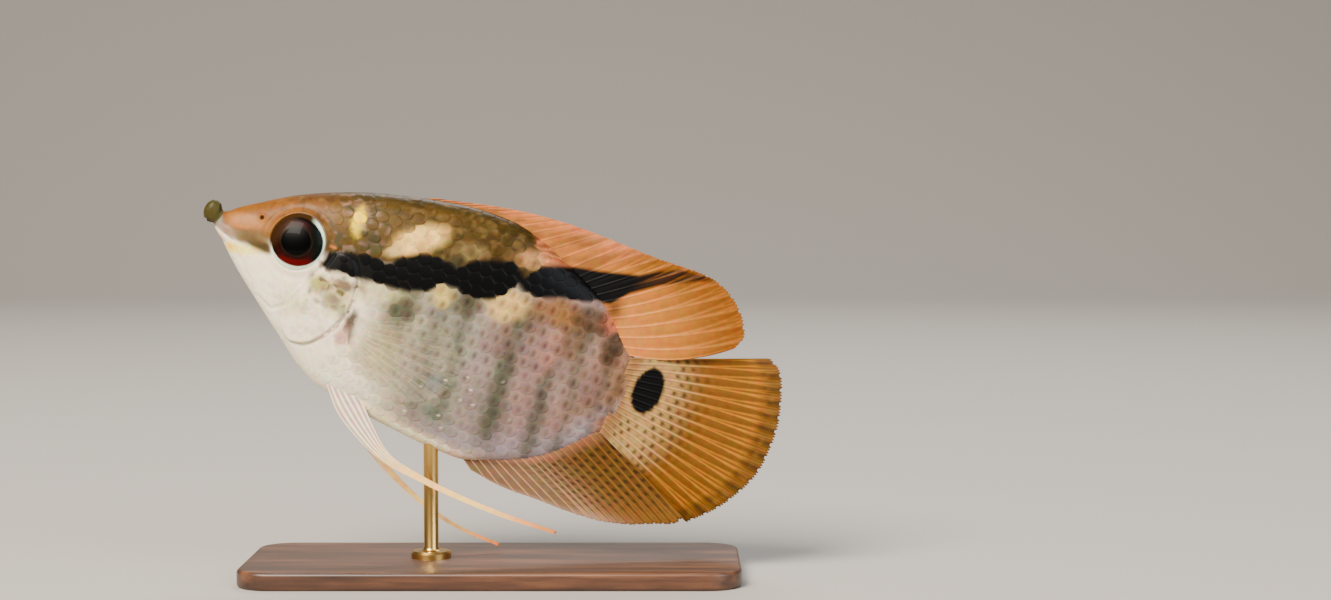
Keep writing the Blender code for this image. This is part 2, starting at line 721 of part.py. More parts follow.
def dorsal_fin(collection):
    """Folded spines along the back, and a long pointed soft part."""
    places, ridges = ray_columns(DORSAL_SPINES + DORSAL_SOFT_RAYS)
    along = DORSAL_SPAN[0] + (DORSAL_SPAN[1] - DORSAL_SPAN[0]) * two_part_shares(
        places, DORSAL_SPINE_SHARE, DORSAL_SPINE_ROOT_SHARE
    )
    back = body_profile(along)[0] + GAP / STANDARD_LENGTH
    roots = side_view_points(np.stack([along, back], axis=1))
    shares = two_part_shares(places, DORSAL_SPINE_SHARE, DORSAL_SPINE_EDGE_SHARE)
    tips = side_view_points(smooth_path(DORSAL_EDGE, shares))
    tips[:, 1] = sway(places, DORSAL_SWAY)
    soft = np.clip((places - DORSAL_SPINE_SHARE) / (1 - DORSAL_SPINE_SHARE), 0, 1)[:, None]
    bows = side_view_points(soft * DORSAL_BOW)
    fin("dorsal_fin", roots, tips, bows, ridges, LONG_FIN_ROWS, FIN_ROOT_THICKNESS, "fin_membrane",
        collection)


def anal_fin(collection):
    """Spines along the hind belly, and a pointed soft part."""
    places, ridges = ray_columns(ANAL_SPINES + ANAL_SOFT_RAYS)
    along = ANAL_SPAN[0] + (ANAL_SPAN[1] - ANAL_SPAN[0]) * two_part_shares(
        places, ANAL_SPINE_SHARE, ANAL_SPINE_ROOT_SHARE
    )
    belly = body_profile(along)[1] - GAP / STANDARD_LENGTH
    roots = side_view_points(np.stack([along, belly], axis=1))
    shares = two_part_shares(places, ANAL_SPINE_SHARE, ANAL_SPINE_EDGE_SHARE)
    tips = side_view_points(smooth_path(ANAL_EDGE, shares))
    tips[:, 1] = sway(places, ANAL_SWAY)
    bows = np.zeros_like(tips)
    fin("anal_fin", roots, tips, bows, ridges, SHORT_FIN_ROWS, FIN_ROOT_THICKNESS, "fin_membrane",
        collection)


def caudal_fin(collection):
    """The rounded tail fin, fanned out and swayed a little to the far side."""
    places, ridges = ray_columns(TAIL_RAYS)
    up = TAIL_ROOT[0] + (TAIL_ROOT[1] - TAIL_ROOT[0]) * places
    along = np.full(len(places), 1 + GAP / STANDARD_LENGTH)
    roots = side_view_points(np.stack([along, up], axis=1))
    tips = side_view_points(smooth_path(TAIL_EDGE, places), TAIL_SWAY)
    bows = side_view_points(np.zeros((len(places), 2)), -TAIL_SWAY / 4)
    fin("caudal_fin", roots, tips, bows, ridges, LONG_FIN_ROWS, TAIL_ROOT_THICKNESS, "fin_membrane",
        collection)


def pectoral_fin(name, sign, collection):
    """A clear fan behind the gill cover, held a little off the flank."""
    places, ridges = ray_columns(PECTORAL_RAYS)
    top, bottom = np.array(PECTORAL_ROOT[0]), np.array(PECTORAL_ROOT[1])
    outline = top + (bottom - top) * places[:, None]
    roots = side_view_points(outline)
    roots[:, 1] = sign * (body_side(outline[:, 0], outline[:, 1]) - PECTORAL_SINK)
    tips = side_view_points(smooth_path(PECTORAL_EDGE, places))
    tips[:, 1] = roots[:, 1] + sign * (PECTORAL_SPREAD + PECTORAL_SINK)
    bows = np.zeros_like(tips)
    rows, root = SHORT_FIN_ROWS, PECTORAL_ROOT_THICKNESS
    made = fin(name, roots, tips, bows, ridges, rows, root, "pale_fin", collection)
    cut_clear_of_body(made, collection)
    dressed(made, "pale_fin", 30)


def pelvic_fin(name, sign, stations, collection):
    """A narrow fin whose rays run together into one long thread."""
    places, ridges = ray_columns(PELVIC_RAYS)
    table = np.array(stations)
    table[:, :2] *= STANDARD_LENGTH
    line = smooth_path(table, np.linspace(0, 1, PELVIC_ROWS))
    heading = np.gradient(line[:, :2], axis=0)
    heading /= np.linalg.norm(heading, axis=1)[:, None]
    across = np.stack([-heading[:, 1], heading[:, 0]], axis=1)
    offset = (places - 0.5)[:, None, None] * line[None, :, 3, None]
    flat = line[None, :, :2] + offset * across[None]
    side = sign * (PELVIC_ROOT_SIDE + line[None, :, 2]) * np.ones((len(places), 1))
    middle = np.stack([flat[..., 0], side, flat[..., 1]], axis=-1)
    v = np.linspace(0, 1, PELVIC_ROWS)[None, :]
    thickness = MEMBRANE + (PELVIC_ROOT_THICKNESS - MEMBRANE) * np.clip(1 - 3 * v, 0, 1)
    thickness = thickness + 0.6 * RAY_RIDGE * ridges[:, None] * (1 - v)
    made = sheet(name, middle, thickness, collection)
    cut_clear_of_body(made, collection)
    dressed(made, "pale_fin", 30)


def cut_clear_of_body(obj, collection):
    """Cuts a piece back to the gap from the body's surface."""
    boolean(obj, "DIFFERENCE", [loft_body("grown_body", GAP, collection)])
    weld(obj)
    keep_largest(obj)


def make_fins(collection):
    """Every fin."""
    dorsal_fin(collection)
    anal_fin(collection)
    caudal_fin(collection)
    for sign, name, stations in ((-1, "left", PELVIC_LEFT), (1, "right", PELVIC_RIGHT)):
        pectoral_fin(f"pectoral_fin_{name}", sign, collection)
        pelvic_fin(f"pelvic_fin_{name}", sign, stations, collection)


def stand_base(collection):
    """A flat plate with round corners and softened edges."""
    corner = np.linspace(0, math.pi / 2, 6)
    outline = []
    half_x, half_y = BASE_LENGTH / 2 - BASE_CORNER, BASE_DEPTH / 2 - BASE_CORNER
    corners = ((half_x, half_y), (-half_x, half_y), (-half_x, -half_y), (half_x, -half_y))
    for quarter, (x, y) in enumerate(corners):
        for angle in corner + quarter * math.pi / 2:
            outline.append((x + BASE_CORNER * math.cos(angle), y + BASE_CORNER * math.sin(angle)))
    obj = poly_curve("stand_base", outline, collection, True, True)
    obj.data.fill_mode = "BOTH"
    obj.data.extrude = BASE_HEIGHT / 2
    obj.location = (0, 0, BASE_HEIGHT / 2)
    bpy.context.view_layer.update()
    made = curve_to_mesh(obj, collection)
    bevel = made.modifiers.new("edge", "BEVEL")
    bevel.width = BASE_EDGE
    bevel.segments = 2
    bevel.limit_method = "ANGLE"
    bevel.angle_limit = math.radians(60)
    return dressed(made, "walnut")


def stand_rod(collection):
    """A turned rod with a foot, its top hollowed to the belly that it carries."""
    belly_along = (ROD_X - SNOUT_X) / STANDARD_LENGTH
    for _ in range(8):
        belly = float(body_profile(np.array([belly_along]))[1][0])
        belly_along = ((ROD_X - SNOUT_X) / STANDARD_LENGTH - belly * math.sin(PITCH)) / math.cos(PITCH)
    belly_z = SNOUT_Z + STANDARD_LENGTH * (belly * math.cos(PITCH) - belly_along * math.sin(PITCH))
    foot = BASE_HEIGHT + GAP
    edge = 0.0003
    profile = (
        (0, belly_z + ROD_SINK), (ROD_RADIUS, belly_z + ROD_SINK), (ROD_RADIUS, foot + ROD_FOOT_HEIGHT),
        (ROD_FOOT_RADIUS - edge, foot + ROD_FOOT_HEIGHT), (ROD_FOOT_RADIUS, foot + ROD_FOOT_HEIGHT - edge),
        (ROD_FOOT_RADIUS, foot), (0, foot),
    )
    mesh = bpy.data.meshes.new("stand_rod")
    edges = [(i, i + 1) for i in range(len(profile) - 1)]
    mesh.from_pydata([(r, 0, z) for r, z in profile], edges, [])
    obj = bpy.data.objects.new("stand_rod", mesh)
    collection.objects.link(obj)
    screw = obj.modifiers.new("turned", "SCREW")
    screw.steps = screw.render_steps = 24
    screw.use_merge_vertices = True
    screw.merge_threshold = 0.00001
    bpy.context.view_layer.update()
    graph = bpy.context.evaluated_depsgraph_get()
    turned = bpy.data.meshes.new_from_object(obj.evaluated_get(graph))
    obj.modifiers.clear()
    obj.data = turned
    obj.data.transform(Matrix.Translation((ROD_X, 0, 0)))
    face_outward(obj)
    cut_clear_of_body(obj, collection)
    return dressed(obj, "brass")


def main():
    clear_scene()
    fish = bpy.data.collections.new("flag_cichlid")
    bpy.context.scene.collection.children.link(fish)
    make_body(fish)
    make_fins(fish)
    stand_base(fish)
    stand_rod(fish)


main()
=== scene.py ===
"""The looks of a still, life-size flag cichlid: skin, scales, fins, eyes, stand, floor, light and camera."""

import math

import bpy
import numpy as np
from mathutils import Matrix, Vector


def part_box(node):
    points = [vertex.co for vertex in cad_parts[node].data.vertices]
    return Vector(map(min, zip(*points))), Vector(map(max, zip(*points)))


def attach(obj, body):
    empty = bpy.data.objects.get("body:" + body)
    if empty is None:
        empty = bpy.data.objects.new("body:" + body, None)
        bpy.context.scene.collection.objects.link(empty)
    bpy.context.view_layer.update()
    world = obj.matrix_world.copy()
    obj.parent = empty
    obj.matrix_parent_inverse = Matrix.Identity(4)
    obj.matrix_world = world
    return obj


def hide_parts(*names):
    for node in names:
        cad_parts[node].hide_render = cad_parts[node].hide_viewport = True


bl_info = {
    "name": "Flag cichlid",
    "version": (1, 0, 0),
    "blender": (4, 5, 0),
    "location": "3D View > Sidebar > Fish",
    "description": "Dresses the solid model of a flag cichlid with skin, scales, fins and eyes",
    "category": "Object",
}

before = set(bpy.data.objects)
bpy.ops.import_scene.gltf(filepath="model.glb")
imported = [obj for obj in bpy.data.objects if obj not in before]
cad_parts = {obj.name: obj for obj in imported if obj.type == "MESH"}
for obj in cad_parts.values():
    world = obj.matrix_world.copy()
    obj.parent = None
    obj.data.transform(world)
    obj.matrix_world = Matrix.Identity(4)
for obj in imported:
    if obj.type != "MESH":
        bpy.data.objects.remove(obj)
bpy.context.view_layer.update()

# The fish's own axes: along runs from snout to tail, up towards the back, side towards its right.
# Shares are of the standard length, in metres, from the snout to the tail fin's root.
STANDARD_LENGTH = 0.075
LENGTH_IN_MM = 75
PITCH = math.radians(22.5)
SNOUT_X, SNOUT_Z = -0.0473, 0.0596
MM = 0.001

# Trunk sections: along, back, belly, half width, level of the widest point
BODY_STATIONS = (
    (-0.016, 0.0580, 0.0020, 0.0190, 0.0300),
    (-0.004, 0.0540, 0.0010, 0.0195, 0.0260),
    (0.006, 0.0420, -0.0050, 0.0180, 0.0140),
    (0.016, 0.0450, -0.0135, 0.0240, 0.0090),
    (0.033, 0.0600, -0.0280, 0.0330, 0.0100),
    (0.072, 0.0880, -0.0620, 0.0450, 0.0100),
    (0.151, 0.140, -0.121, 0.061, 0.010),
    (0.232, 0.180, -0.178, 0.073, 0.008),
    (0.302, 0.208, -0.226, 0.080, 0.004),
    (0.361, 0.226, -0.250, 0.084, 0.000),
    (0.449, 0.249, -0.264, 0.086, 0.000),
    (0.540, 0.266, -0.274, 0.084, 0.000),
    (0.617, 0.270, -0.279, 0.079, 0.000),
    (0.700, 0.254, -0.280, 0.070, 0.000),
    (0.765, 0.230, -0.262, 0.061, 0.000),
    (0.848, 0.198, -0.226, 0.047, 0.000),
    (0.896, 0.168, -0.195, 0.038, -0.002),
    (0.939, 0.130, -0.152, 0.030, -0.004),
    (0.972, 0.100, -0.116, 0.024, -0.005),
    (1.000, 0.086, -0.098, 0.018, -0.006),
)
BACK_FULLNESS, BELLY_FULLNESS = 0.46, 0.54
NOSE_JOIN, NOSE_POLE, NOSE_LEVEL = -0.016, -0.037, 0.030
TAIL_JOIN, TAIL_POLE = 0.990, 1.014
NOSE_RINGS, HEAD_RINGS, TRUNK_RINGS, TAIL_RINGS = 40, 190, 112, 12
HEAD_END = 0.36
AROUND = 264

# Head features as shares along and up
EYE_PLACE = (0.195, 0.044)
NOSTRIL_PLACE = (0.098, 0.062)
MOUTH = ((-0.020, 0.0045), (0.010, 0.000), (0.056, -0.011))
LIP_KNOB = (-0.0155, 0.0310, 0.024, 0.029)
JAW_FOLD = ((0.056, -0.012), (0.070, -0.030), (0.092, -0.050), (0.122, -0.078))
THROAT_FOLD = ((0.118, -0.094), (0.170, -0.124), (0.220, -0.160), (0.265, -0.192), (0.292, -0.212))
CHEEK_FOLD = ((0.262, 0.004), (0.247, -0.046), (0.228, -0.094), (0.192, -0.122), (0.150, -0.106))
GILL_COVER = (
    (0.292, 0.062), (0.324, 0.060), (0.350, 0.028), (0.361, -0.020), (0.353, -0.075), (0.329, -0.127),
    (0.290, -0.166), (0.250, -0.172), (0.224, -0.138), (0.221, -0.095), (0.232, -0.052), (0.260, -0.014),
    (0.280, 0.028),
)

# The black stripe from the eye to the tip of the dorsal fin: its edges as shares along and up
STRIPE_TOP = (
    (0.255, 0.040), (0.268, 0.049), (0.293, 0.062), (0.359, 0.082), (0.396, 0.076), (0.412, 0.084),
    (0.427, 0.103), (0.454, 0.120), (0.497, 0.133), (0.530, 0.130), (0.546, 0.126), (0.562, 0.143),
    (0.590, 0.162), (0.628, 0.176), (0.662, 0.190), (0.680, 0.178), (0.692, 0.165), (0.703, 0.175),
    (0.717, 0.195), (0.756, 0.220), (0.846, 0.240), (0.933, 0.266), (0.971, 0.292), (1.012, 0.313),
    (1.130, 0.330),
)
STRIPE_BOTTOM = (
    (0.255, 0.022), (0.280, 0.013), (0.348, 0.018), (0.416, 0.029), (0.460, 0.034), (0.504, 0.050),
    (0.524, 0.073), (0.542, 0.085), (0.563, 0.081), (0.582, 0.074), (0.617, 0.078), (0.648, 0.092),
    (0.672, 0.114), (0.692, 0.146), (0.712, 0.136), (0.730, 0.131), (0.764, 0.140), (0.852, 0.166),
    (0.895, 0.179), (0.927, 0.218), (0.982, 0.260), (1.061, 0.304), (1.130, 0.324),
)
# The flank's darker bars: share along at the fish's axis, half width, strength. They lean forward going up.
BARS = (
    (0.556, 0.030, 0.52), (0.612, 0.016, 0.60), (0.727, 0.029, 0.82), (0.824, 0.023, 0.72),
    (0.885, 0.016, 0.55), (0.950, 0.012, 0.45),
)
BAR_LEAN = -0.114

# Fins: outer edges from the head end on, as shares along and up
DORSAL_RAYS, DORSAL_SPINES = 26, 15
DORSAL_SPAN = (0.366, 0.976)
DORSAL_SPINE_SHARE, DORSAL_SPINE_ROOT_SHARE, DORSAL_SPINE_EDGE_SHARE = 0.60, 0.72, 0.56
DORSAL_EDGE = (
    (0.440, 0.2500), (0.493, 0.2640), (0.581, 0.2870), (0.672, 0.3040), (0.766, 0.3140), (0.863, 0.3170),
    (0.963, 0.3180), (1.044, 0.3250), (1.093, 0.3235), (1.136, 0.3100), (1.166, 0.2890), (1.190, 0.2620),
    (1.207, 0.2270), (1.197, 0.1970),
)
DORSAL_BOW = (0.006, -0.018)
ANAL_RAYS = 20
ANAL_SPAN = (0.712, 0.988)
ANAL_SPINE_SHARE, ANAL_SPINE_ROOT_SHARE, ANAL_SPINE_EDGE_SHARE = 0.40, 0.50, 0.56
ANAL_EDGE = (
    (0.748, -0.2920), (0.824, -0.3000), (0.919, -0.2960), (1.005, -0.2935), (1.058, -0.2870),
    (1.114, -0.2740), (1.182, -0.2460), (1.226, -0.2260), (1.238, -0.2095),
)
CAUDAL_RAYS = 16
CAUDAL_ROOT = (0.083, -0.097)
CAUDAL_ROOT_ALONG = 0.985
# The tail fin's black spot: along, up, half length, half height, and its lean in radians
TAIL_SPOT, TAIL_SPOT_LEAN = (1.050, 0.030, 0.034, 0.054), -0.04
CAUDAL_EDGE = (
    (1.284, 0.2030), (1.311, 0.1895), (1.335, 0.1500), (1.354, 0.0970), (1.363, 0.0450), (1.364, -0.0060),
    (1.357, -0.0610), (1.336, -0.1130), (1.304, -0.1630), (1.251, -0.2210),
)
CAUDAL_SWAY = 0.0030
PECTORAL_RAYS = 13
PECTORAL_ROOT = ((0.366, -0.070), (0.384, -0.122))
PECTORAL_EDGE = (
    (0.520, 0.002), (0.578, -0.006), (0.625, -0.038), (0.646, -0.088), (0.628, -0.142), (0.570, -0.186),
    (0.500, -0.196),
)
PECTORAL_SPREAD = 0.0052
PELVIC_RAYS = 6
PELVIC_ROOT_SIDE = 0.0018
# Each pelvic fin's middle line as along, up and outward spread, and its width there, in metres
PELVIC_LEFT = (
    (0.388, -0.216, 0.0000, 0.0034), (0.438, -0.257, 0.0006, 0.0045), (0.492, -0.296, 0.0012, 0.0034),
    (0.558, -0.331, 0.0020, 0.0018), (0.651, -0.345, 0.0026, 0.0011), (0.750, -0.350, 0.0030, 0.0009),
    (0.848, -0.349, 0.0034, 0.0008), (0.980, -0.339, 0.0038, 0.0005),
)
PELVIC_RIGHT = (
    (0.388, -0.216, 0.0000, 0.0034), (0.434, -0.261, 0.0006, 0.0042), (0.486, -0.310, 0.0012, 0.0028),
    (0.550, -0.359, 0.0020, 0.0013), (0.608, -0.388, 0.0024, 0.0009), (0.666, -0.410, 0.0028, 0.0008),
    (0.722, -0.426, 0.0030, 0.0007), (0.776, -0.434, 0.0032, 0.0006), (0.872, -0.436, 0.0036, 0.0005),
)

# Soft-edged patches of body colour: along, up, half length, half height, tilt in degrees, colour, strength
PATCHES = (
    (0.090, 0.075, 0.090, 0.050, 20, "#b38034", 0.8),
    (0.070, 0.040, 0.050, 0.020, 10, "#cfa36a", 0.7),
    (0.100, 0.008, 0.044, 0.018, 0, "#85714c", 1.0),
    (0.132, 0.006, 0.022, 0.014, 0, "#7d6946", 0.95),
    (0.108, 0.024, 0.034, 0.013, 4, "#a3875f", 0.7),
    (0.058, 0.006, 0.040, 0.013, 0, "#a38867", 0.8),
    (0.305, 0.138, 0.014, 0.036, 12, "#e4d300", 1.0),
    (0.274, 0.068, 0.009, 0.006, 0, "#eab777", 0.9),
    (0.262, 0.125, 0.024, 0.044, 0, "#926f2e", 0.7),
    (0.687, 0.020, 0.036, 0.050, 8, "#b08f80", 0.6),
    (0.468, -0.040, 0.034, 0.044, 0, "#9b937e", 0.6),
    (0.809, 0.031, 0.026, 0.060, -8, "#dcb8aa", 0.6),
    (0.355, 0.098, 0.024, 0.014, 10, "#77755b", 0.7),
    (0.447, 0.150, 0.062, 0.030, 38, "#ead8a0", 1.0),
    (0.405, 0.106, 0.022, 0.014, 30, "#dccb9c", 0.9),
    (0.566, 0.172, 0.034, 0.020, 15, "#b9a377", 0.8),
    (0.694, 0.205, 0.032, 0.020, 15, "#d2b284", 0.9),
    (0.468, 0.012, 0.038, 0.044, 0, "#8f8a76", 0.8),
    (0.541, 0.056, 0.026, 0.024, 0, "#dccf98", 0.9),
    (0.602, 0.060, 0.036, 0.028, 20, "#766a4c", 0.7),
    (0.685, 0.092, 0.050, 0.036, 20, "#e0cd98", 0.95),
    (0.757, 0.085, 0.026, 0.045, 0, "#8b6e4a", 0.65),
    (0.400, 0.004, 0.070, 0.020, 12, "#dfd8b8", 0.7),
    (0.330, -0.040, 0.030, 0.040, 0, "#e2dfb8", 0.6),
    (0.850, 0.070, 0.030, 0.050, 0, "#94754a", 0.7),
    (0.795, 0.116, 0.060, 0.036, 10, "#b48a56", 0.85),
    (0.940, 0.090, 0.026, 0.050, 0, "#6b4e2c", 0.8),
    (0.908, 0.138, 0.022, 0.026, 20, "#dc947a", 0.8),
    (0.985, -0.020, 0.014, 0.090, 0, "#86684a", 0.6),
    (0.878, 0.130, 0.050, 0.034, 0, "#7d5d30", 0.8),
    (0.928, 0.152, 0.022, 0.024, 0, "#dfa27e", 0.9),
    (0.678, -0.080, 0.030, 0.120, 6, "#bda6a4", 0.5),
    (0.782, -0.020, 0.026, 0.130, 6, "#bfa19a", 0.5),
    (0.878, -0.100, 0.020, 0.060, 0, "#c6a59b", 0.5),
    (0.985, -0.090, 0.022, 0.026, 0, "#caa07f", 0.7),
    (0.930, -0.020, 0.030, 0.050, 0, "#a5868a", 0.4),
    (0.780, 0.010, 0.080, 0.040, 0, "#a98d86", 0.4),
    (0.620, -0.120, 0.018, 0.022, 0, "#849180", 0.6),
    (0.618, -0.196, 0.020, 0.018, 0, "#809482", 0.6),
    (0.455, -0.120, 0.050, 0.060, 0, "#cdc69c", 0.6),
    (0.305, -0.022, 0.055, 0.036, 0, "#cfc39d", 0.7),
    (0.276, -0.022, 0.026, 0.018, 0, "#c8c07c", 0.8),
    (0.330, -0.006, 0.020, 0.012, 0, "#a48078", 0.8),
    (0.374, -0.074, 0.014, 0.026, -12, "#563c3a", 0.95),
    (0.371, -0.112, 0.018, 0.026, -12, "#cf9488", 0.6),
    (0.316, -0.052, 0.022, 0.018, 0, "#a89a78", 0.6),
    (0.472, -0.008, 0.034, 0.030, 0, "#85806c", 0.6),
    (0.597, -0.128, 0.022, 0.020, 0, "#8d98a0", 0.6),
    (0.235, -0.090, 0.040, 0.030, 0, "#dcd9b4", 0.4),
)

# Share along and the size of the flank's scales there
SCALE_GROWTH = ((0.30, 0.5, 0.9, 1.0), (0.92, 1, 0.95, 0.85))
FLANK_SEED, CHEEK_SEED = 60, 70

# Stand, floor, lights and camera, in metres, watts and millimetres of lens
STAND_CORNER, STAND_EASE = 0.006, 0.0006
ROD_RADIUS, COLLAR_HEIGHT = 0.00125, 0.0012
FLOOR_FRONT, FLOOR_HALF_WIDTH = -1.5, 2.5
BEND_START, BEND_RADIUS, WALL_TOP = 0.9, 0.5, 2.2
LAMPS = (
    ("key_light", (-0.45, -0.75, 0.85), 0.6, 44.0, "#fff4e6"),
    ("fill_light", (0.75, -0.60, 0.45), 0.7, 9.0, "#eef3ff"),
    ("back_light", (0.10, 0.60, 0.80), 0.5, 7.0, "#ffffff"),
)
LAMP_TARGET = (0, 0, 0.04)
LENS, SENSOR_WIDTH = 71.6, 36.0


def linear(hex_colour):
    """An sRGB hex colour as linear red, green and blue."""
    channels = [int(hex_colour[i:i + 2], 16) / 255 for i in (1, 3, 5)]
    return tuple(c / 12.92 if c <= 0.04045 else ((c + 0.055) / 1.055) ** 2.4 for c in channels)


def colour(hex_colour):
    """The paint that looks like this colour under the bright studio light, which lifts middle tones.

    Each linear channel v becomes v^1.55 (0.68 + v^4), and red, which the light favours, v^1.66 (0.68 + v^4).
    """
    channels = np.array(linear(hex_colour))
    return channels ** np.array([1.66, 1.55, 1.55]) * (0.68 + channels**4)


def smoothstep(low, high, x):
    """0 below low, 1 above high, and 3t^2 - 2t^3 between."""
    t = np.clip((x - low) / (high - low), 0, 1)
    return t * t * (3 - 2 * t)


def bump_at(x, centre, width):
    """The bell exp(-((x - centre) / width)^2)."""
    return np.exp(-((x - centre) / width) ** 2)


def mix(base, over, share):
    """base blended towards over by share, where share has no channel axis."""
    share = np.asarray(share)[..., None]
    return base * (1 - share) + over * share


def cubic_slopes(x, y):
    """Slopes of a smooth curve through y(x) that never overshoots: the harmonic mean of the rises beside."""
    rises = np.diff(y) / np.diff(x)
    slopes = np.zeros_like(y)
    same_way = rises[:-1] * rises[1:] > 0
    before, after = rises[:-1][same_way], rises[1:][same_way]
    slopes[1:-1][same_way] = 2 * before * after / (before + after)
    slopes[0], slopes[-1] = rises[0], rises[-1]
    return slopes


def cubic(x, y, slopes, at):
    """The Hermite cubic through y(x) with those slopes, read at each place."""
    at = np.clip(at, x[0], x[-1])
    i = np.clip(np.searchsorted(x, at, side="right") - 1, 0, len(x) - 2)
    step = x[i + 1] - x[i]
    t = (at - x[i]) / step
    start = (1 + 2 * t) * (1 - t) ** 2 * y[i] + t * (1 - t) ** 2 * step * slopes[i]
    end = t * t * (3 - 2 * t) * y[i + 1] - t * t * (1 - t) * step * slopes[i + 1]
    return start + end


def smooth_path(points, shares, closed=False):
    """Places at shares of the length of a smooth path through the points, one row each."""
    points = np.asarray(points, float)
    if closed:
        points = np.vstack([points[-3:], points, points[:4]])
    lengths = np.concatenate([[0], np.cumsum(np.linalg.norm(np.diff(points[:, :2], axis=0), axis=1))])
    start, end = (lengths[3], lengths[-4]) if closed else (0, lengths[-1])
    at = start + np.asarray(shares, float) * (end - start)
    return np.stack([cubic(lengths, v, np.gradient(v, lengths), at) for v in points.T], axis=-1)


def body_profile(along):
    """Back, belly, half width and widest level at each share along, smooth through the stations."""
    table = np.array(BODY_STATIONS)
    shares = table[:, 0]
    return [cubic(shares, column, cubic_slopes(shares, column), along) for column in table[:, 1:].T]


def body_side(along, up):
    """Half width of the body in metres at a place in side view: width (1 - height^2)^fullness."""
    back, belly, width, level = body_profile(np.asarray(along, float))
    reach = np.where(up > level, back - level, level - belly)
    fullness = np.where(up > level, BACK_FULLNESS, BELLY_FULLNESS)
    height = np.clip((up - level) / reach, -1, 1)
    return width * (1 - height**2) ** fullness * STANDARD_LENGTH


def to_row(points):
    """Carries metres in the fish's axes into the row frame: a turn by the pitch and a shift."""
    along, side, up = np.moveaxis(np.asarray(points, float), -1, 0)
    x = SNOUT_X + along * math.cos(PITCH) + up * math.sin(PITCH)
    z = SNOUT_Z - along * math.sin(PITCH) + up * math.cos(PITCH)
    return np.stack([x, side, z], axis=-1)


def distance_to_line(along, up, line):
    """Distance in millimetres in side view from each place to a line of straight stretches."""
    best = np.full(np.broadcast(along, up).shape, np.inf)
    for (a0, u0), (a1, u1) in zip(line[:-1], line[1:]):
        da, du = a1 - a0, u1 - u0
        t = np.clip(((along - a0) * da + (up - u0) * du) / (da * da + du * du), 0, 1)
        best = np.minimum(best, np.hypot(along - a0 - t * da, up - u0 - t * du))
    return best * STANDARD_LENGTH / MM


def inside_distance(along, up, outline):
    """Distance in millimetres in side view from a closed outline, positive inside it."""
    ring = [tuple(p) for p in outline] + [tuple(outline[0])]
    crossings = np.zeros(np.broadcast(along, up).shape, int)
    for (a0, u0), (a1, u1) in zip(ring[:-1], ring[1:]):
        spans = (u0 > up) != (u1 > up)
        crossings += spans & (along < a0 + (up - u0) * (a1 - a0) / (u1 - u0 + 1e-12))
    return distance_to_line(along, up, ring) * np.where(crossings % 2 == 1, 1, -1)


def mottle(points, size, seed):
    """Smooth random values from 0 to 1: a seeded lattice with cells of that size, blended by smoothstep."""
    lattice = np.random.default_rng(seed).random((64, 64, 64))
    at = np.asarray(points, float) / size + 1000
    cell = np.floor(at).astype(int)
    t = at - cell
    t = t * t * (3 - 2 * t)
    total = 0
    for corner in range(8):
        offset = np.array([corner & 1, corner >> 1 & 1, corner >> 2 & 1])
        weight = np.prod(np.where(offset == 1, t, 1 - t), axis=-1)
        x, y, z = np.moveaxis((cell + offset) % 64, -1, 0)
        total = total + weight * lattice[x, y, z]
    return total


def on_body(along, up, sign):
    """The place on the body's side at shares along and up, and the way out of the body there."""
    step = 0.004
    alongs = np.array([along, along - step, along + step, along, along])
    around = body_side(alongs, np.array([up, up, up, up - step, up + step]))
    slopes = (around[[2, 4]] - around[[1, 3]]) / (2 * step * STANDARD_LENGTH)
    place = np.array([along * STANDARD_LENGTH, sign * around[0], up * STANDARD_LENGTH])
    axis = np.array([-slopes[0], sign, -slopes[1]])
    return place, axis / np.linalg.norm(axis)


def stripe_share(along, up):
    """How black the long stripe is at each place: 1 inside its two edges, soft at them."""
    top, bottom = np.array(STRIPE_TOP), np.array(STRIPE_BOTTOM)
    high = np.interp(along, top[:, 0], top[:, 1])
    low = np.interp(along, bottom[:, 0], bottom[:, 1])
    soft = 0.006
    edge = smoothstep(-soft, soft, high - up) * smoothstep(-soft, soft, up - low)
    ends = smoothstep(0.260, 0.274, along) * (1 - smoothstep(1.06, 1.13, along))
    return edge * ends


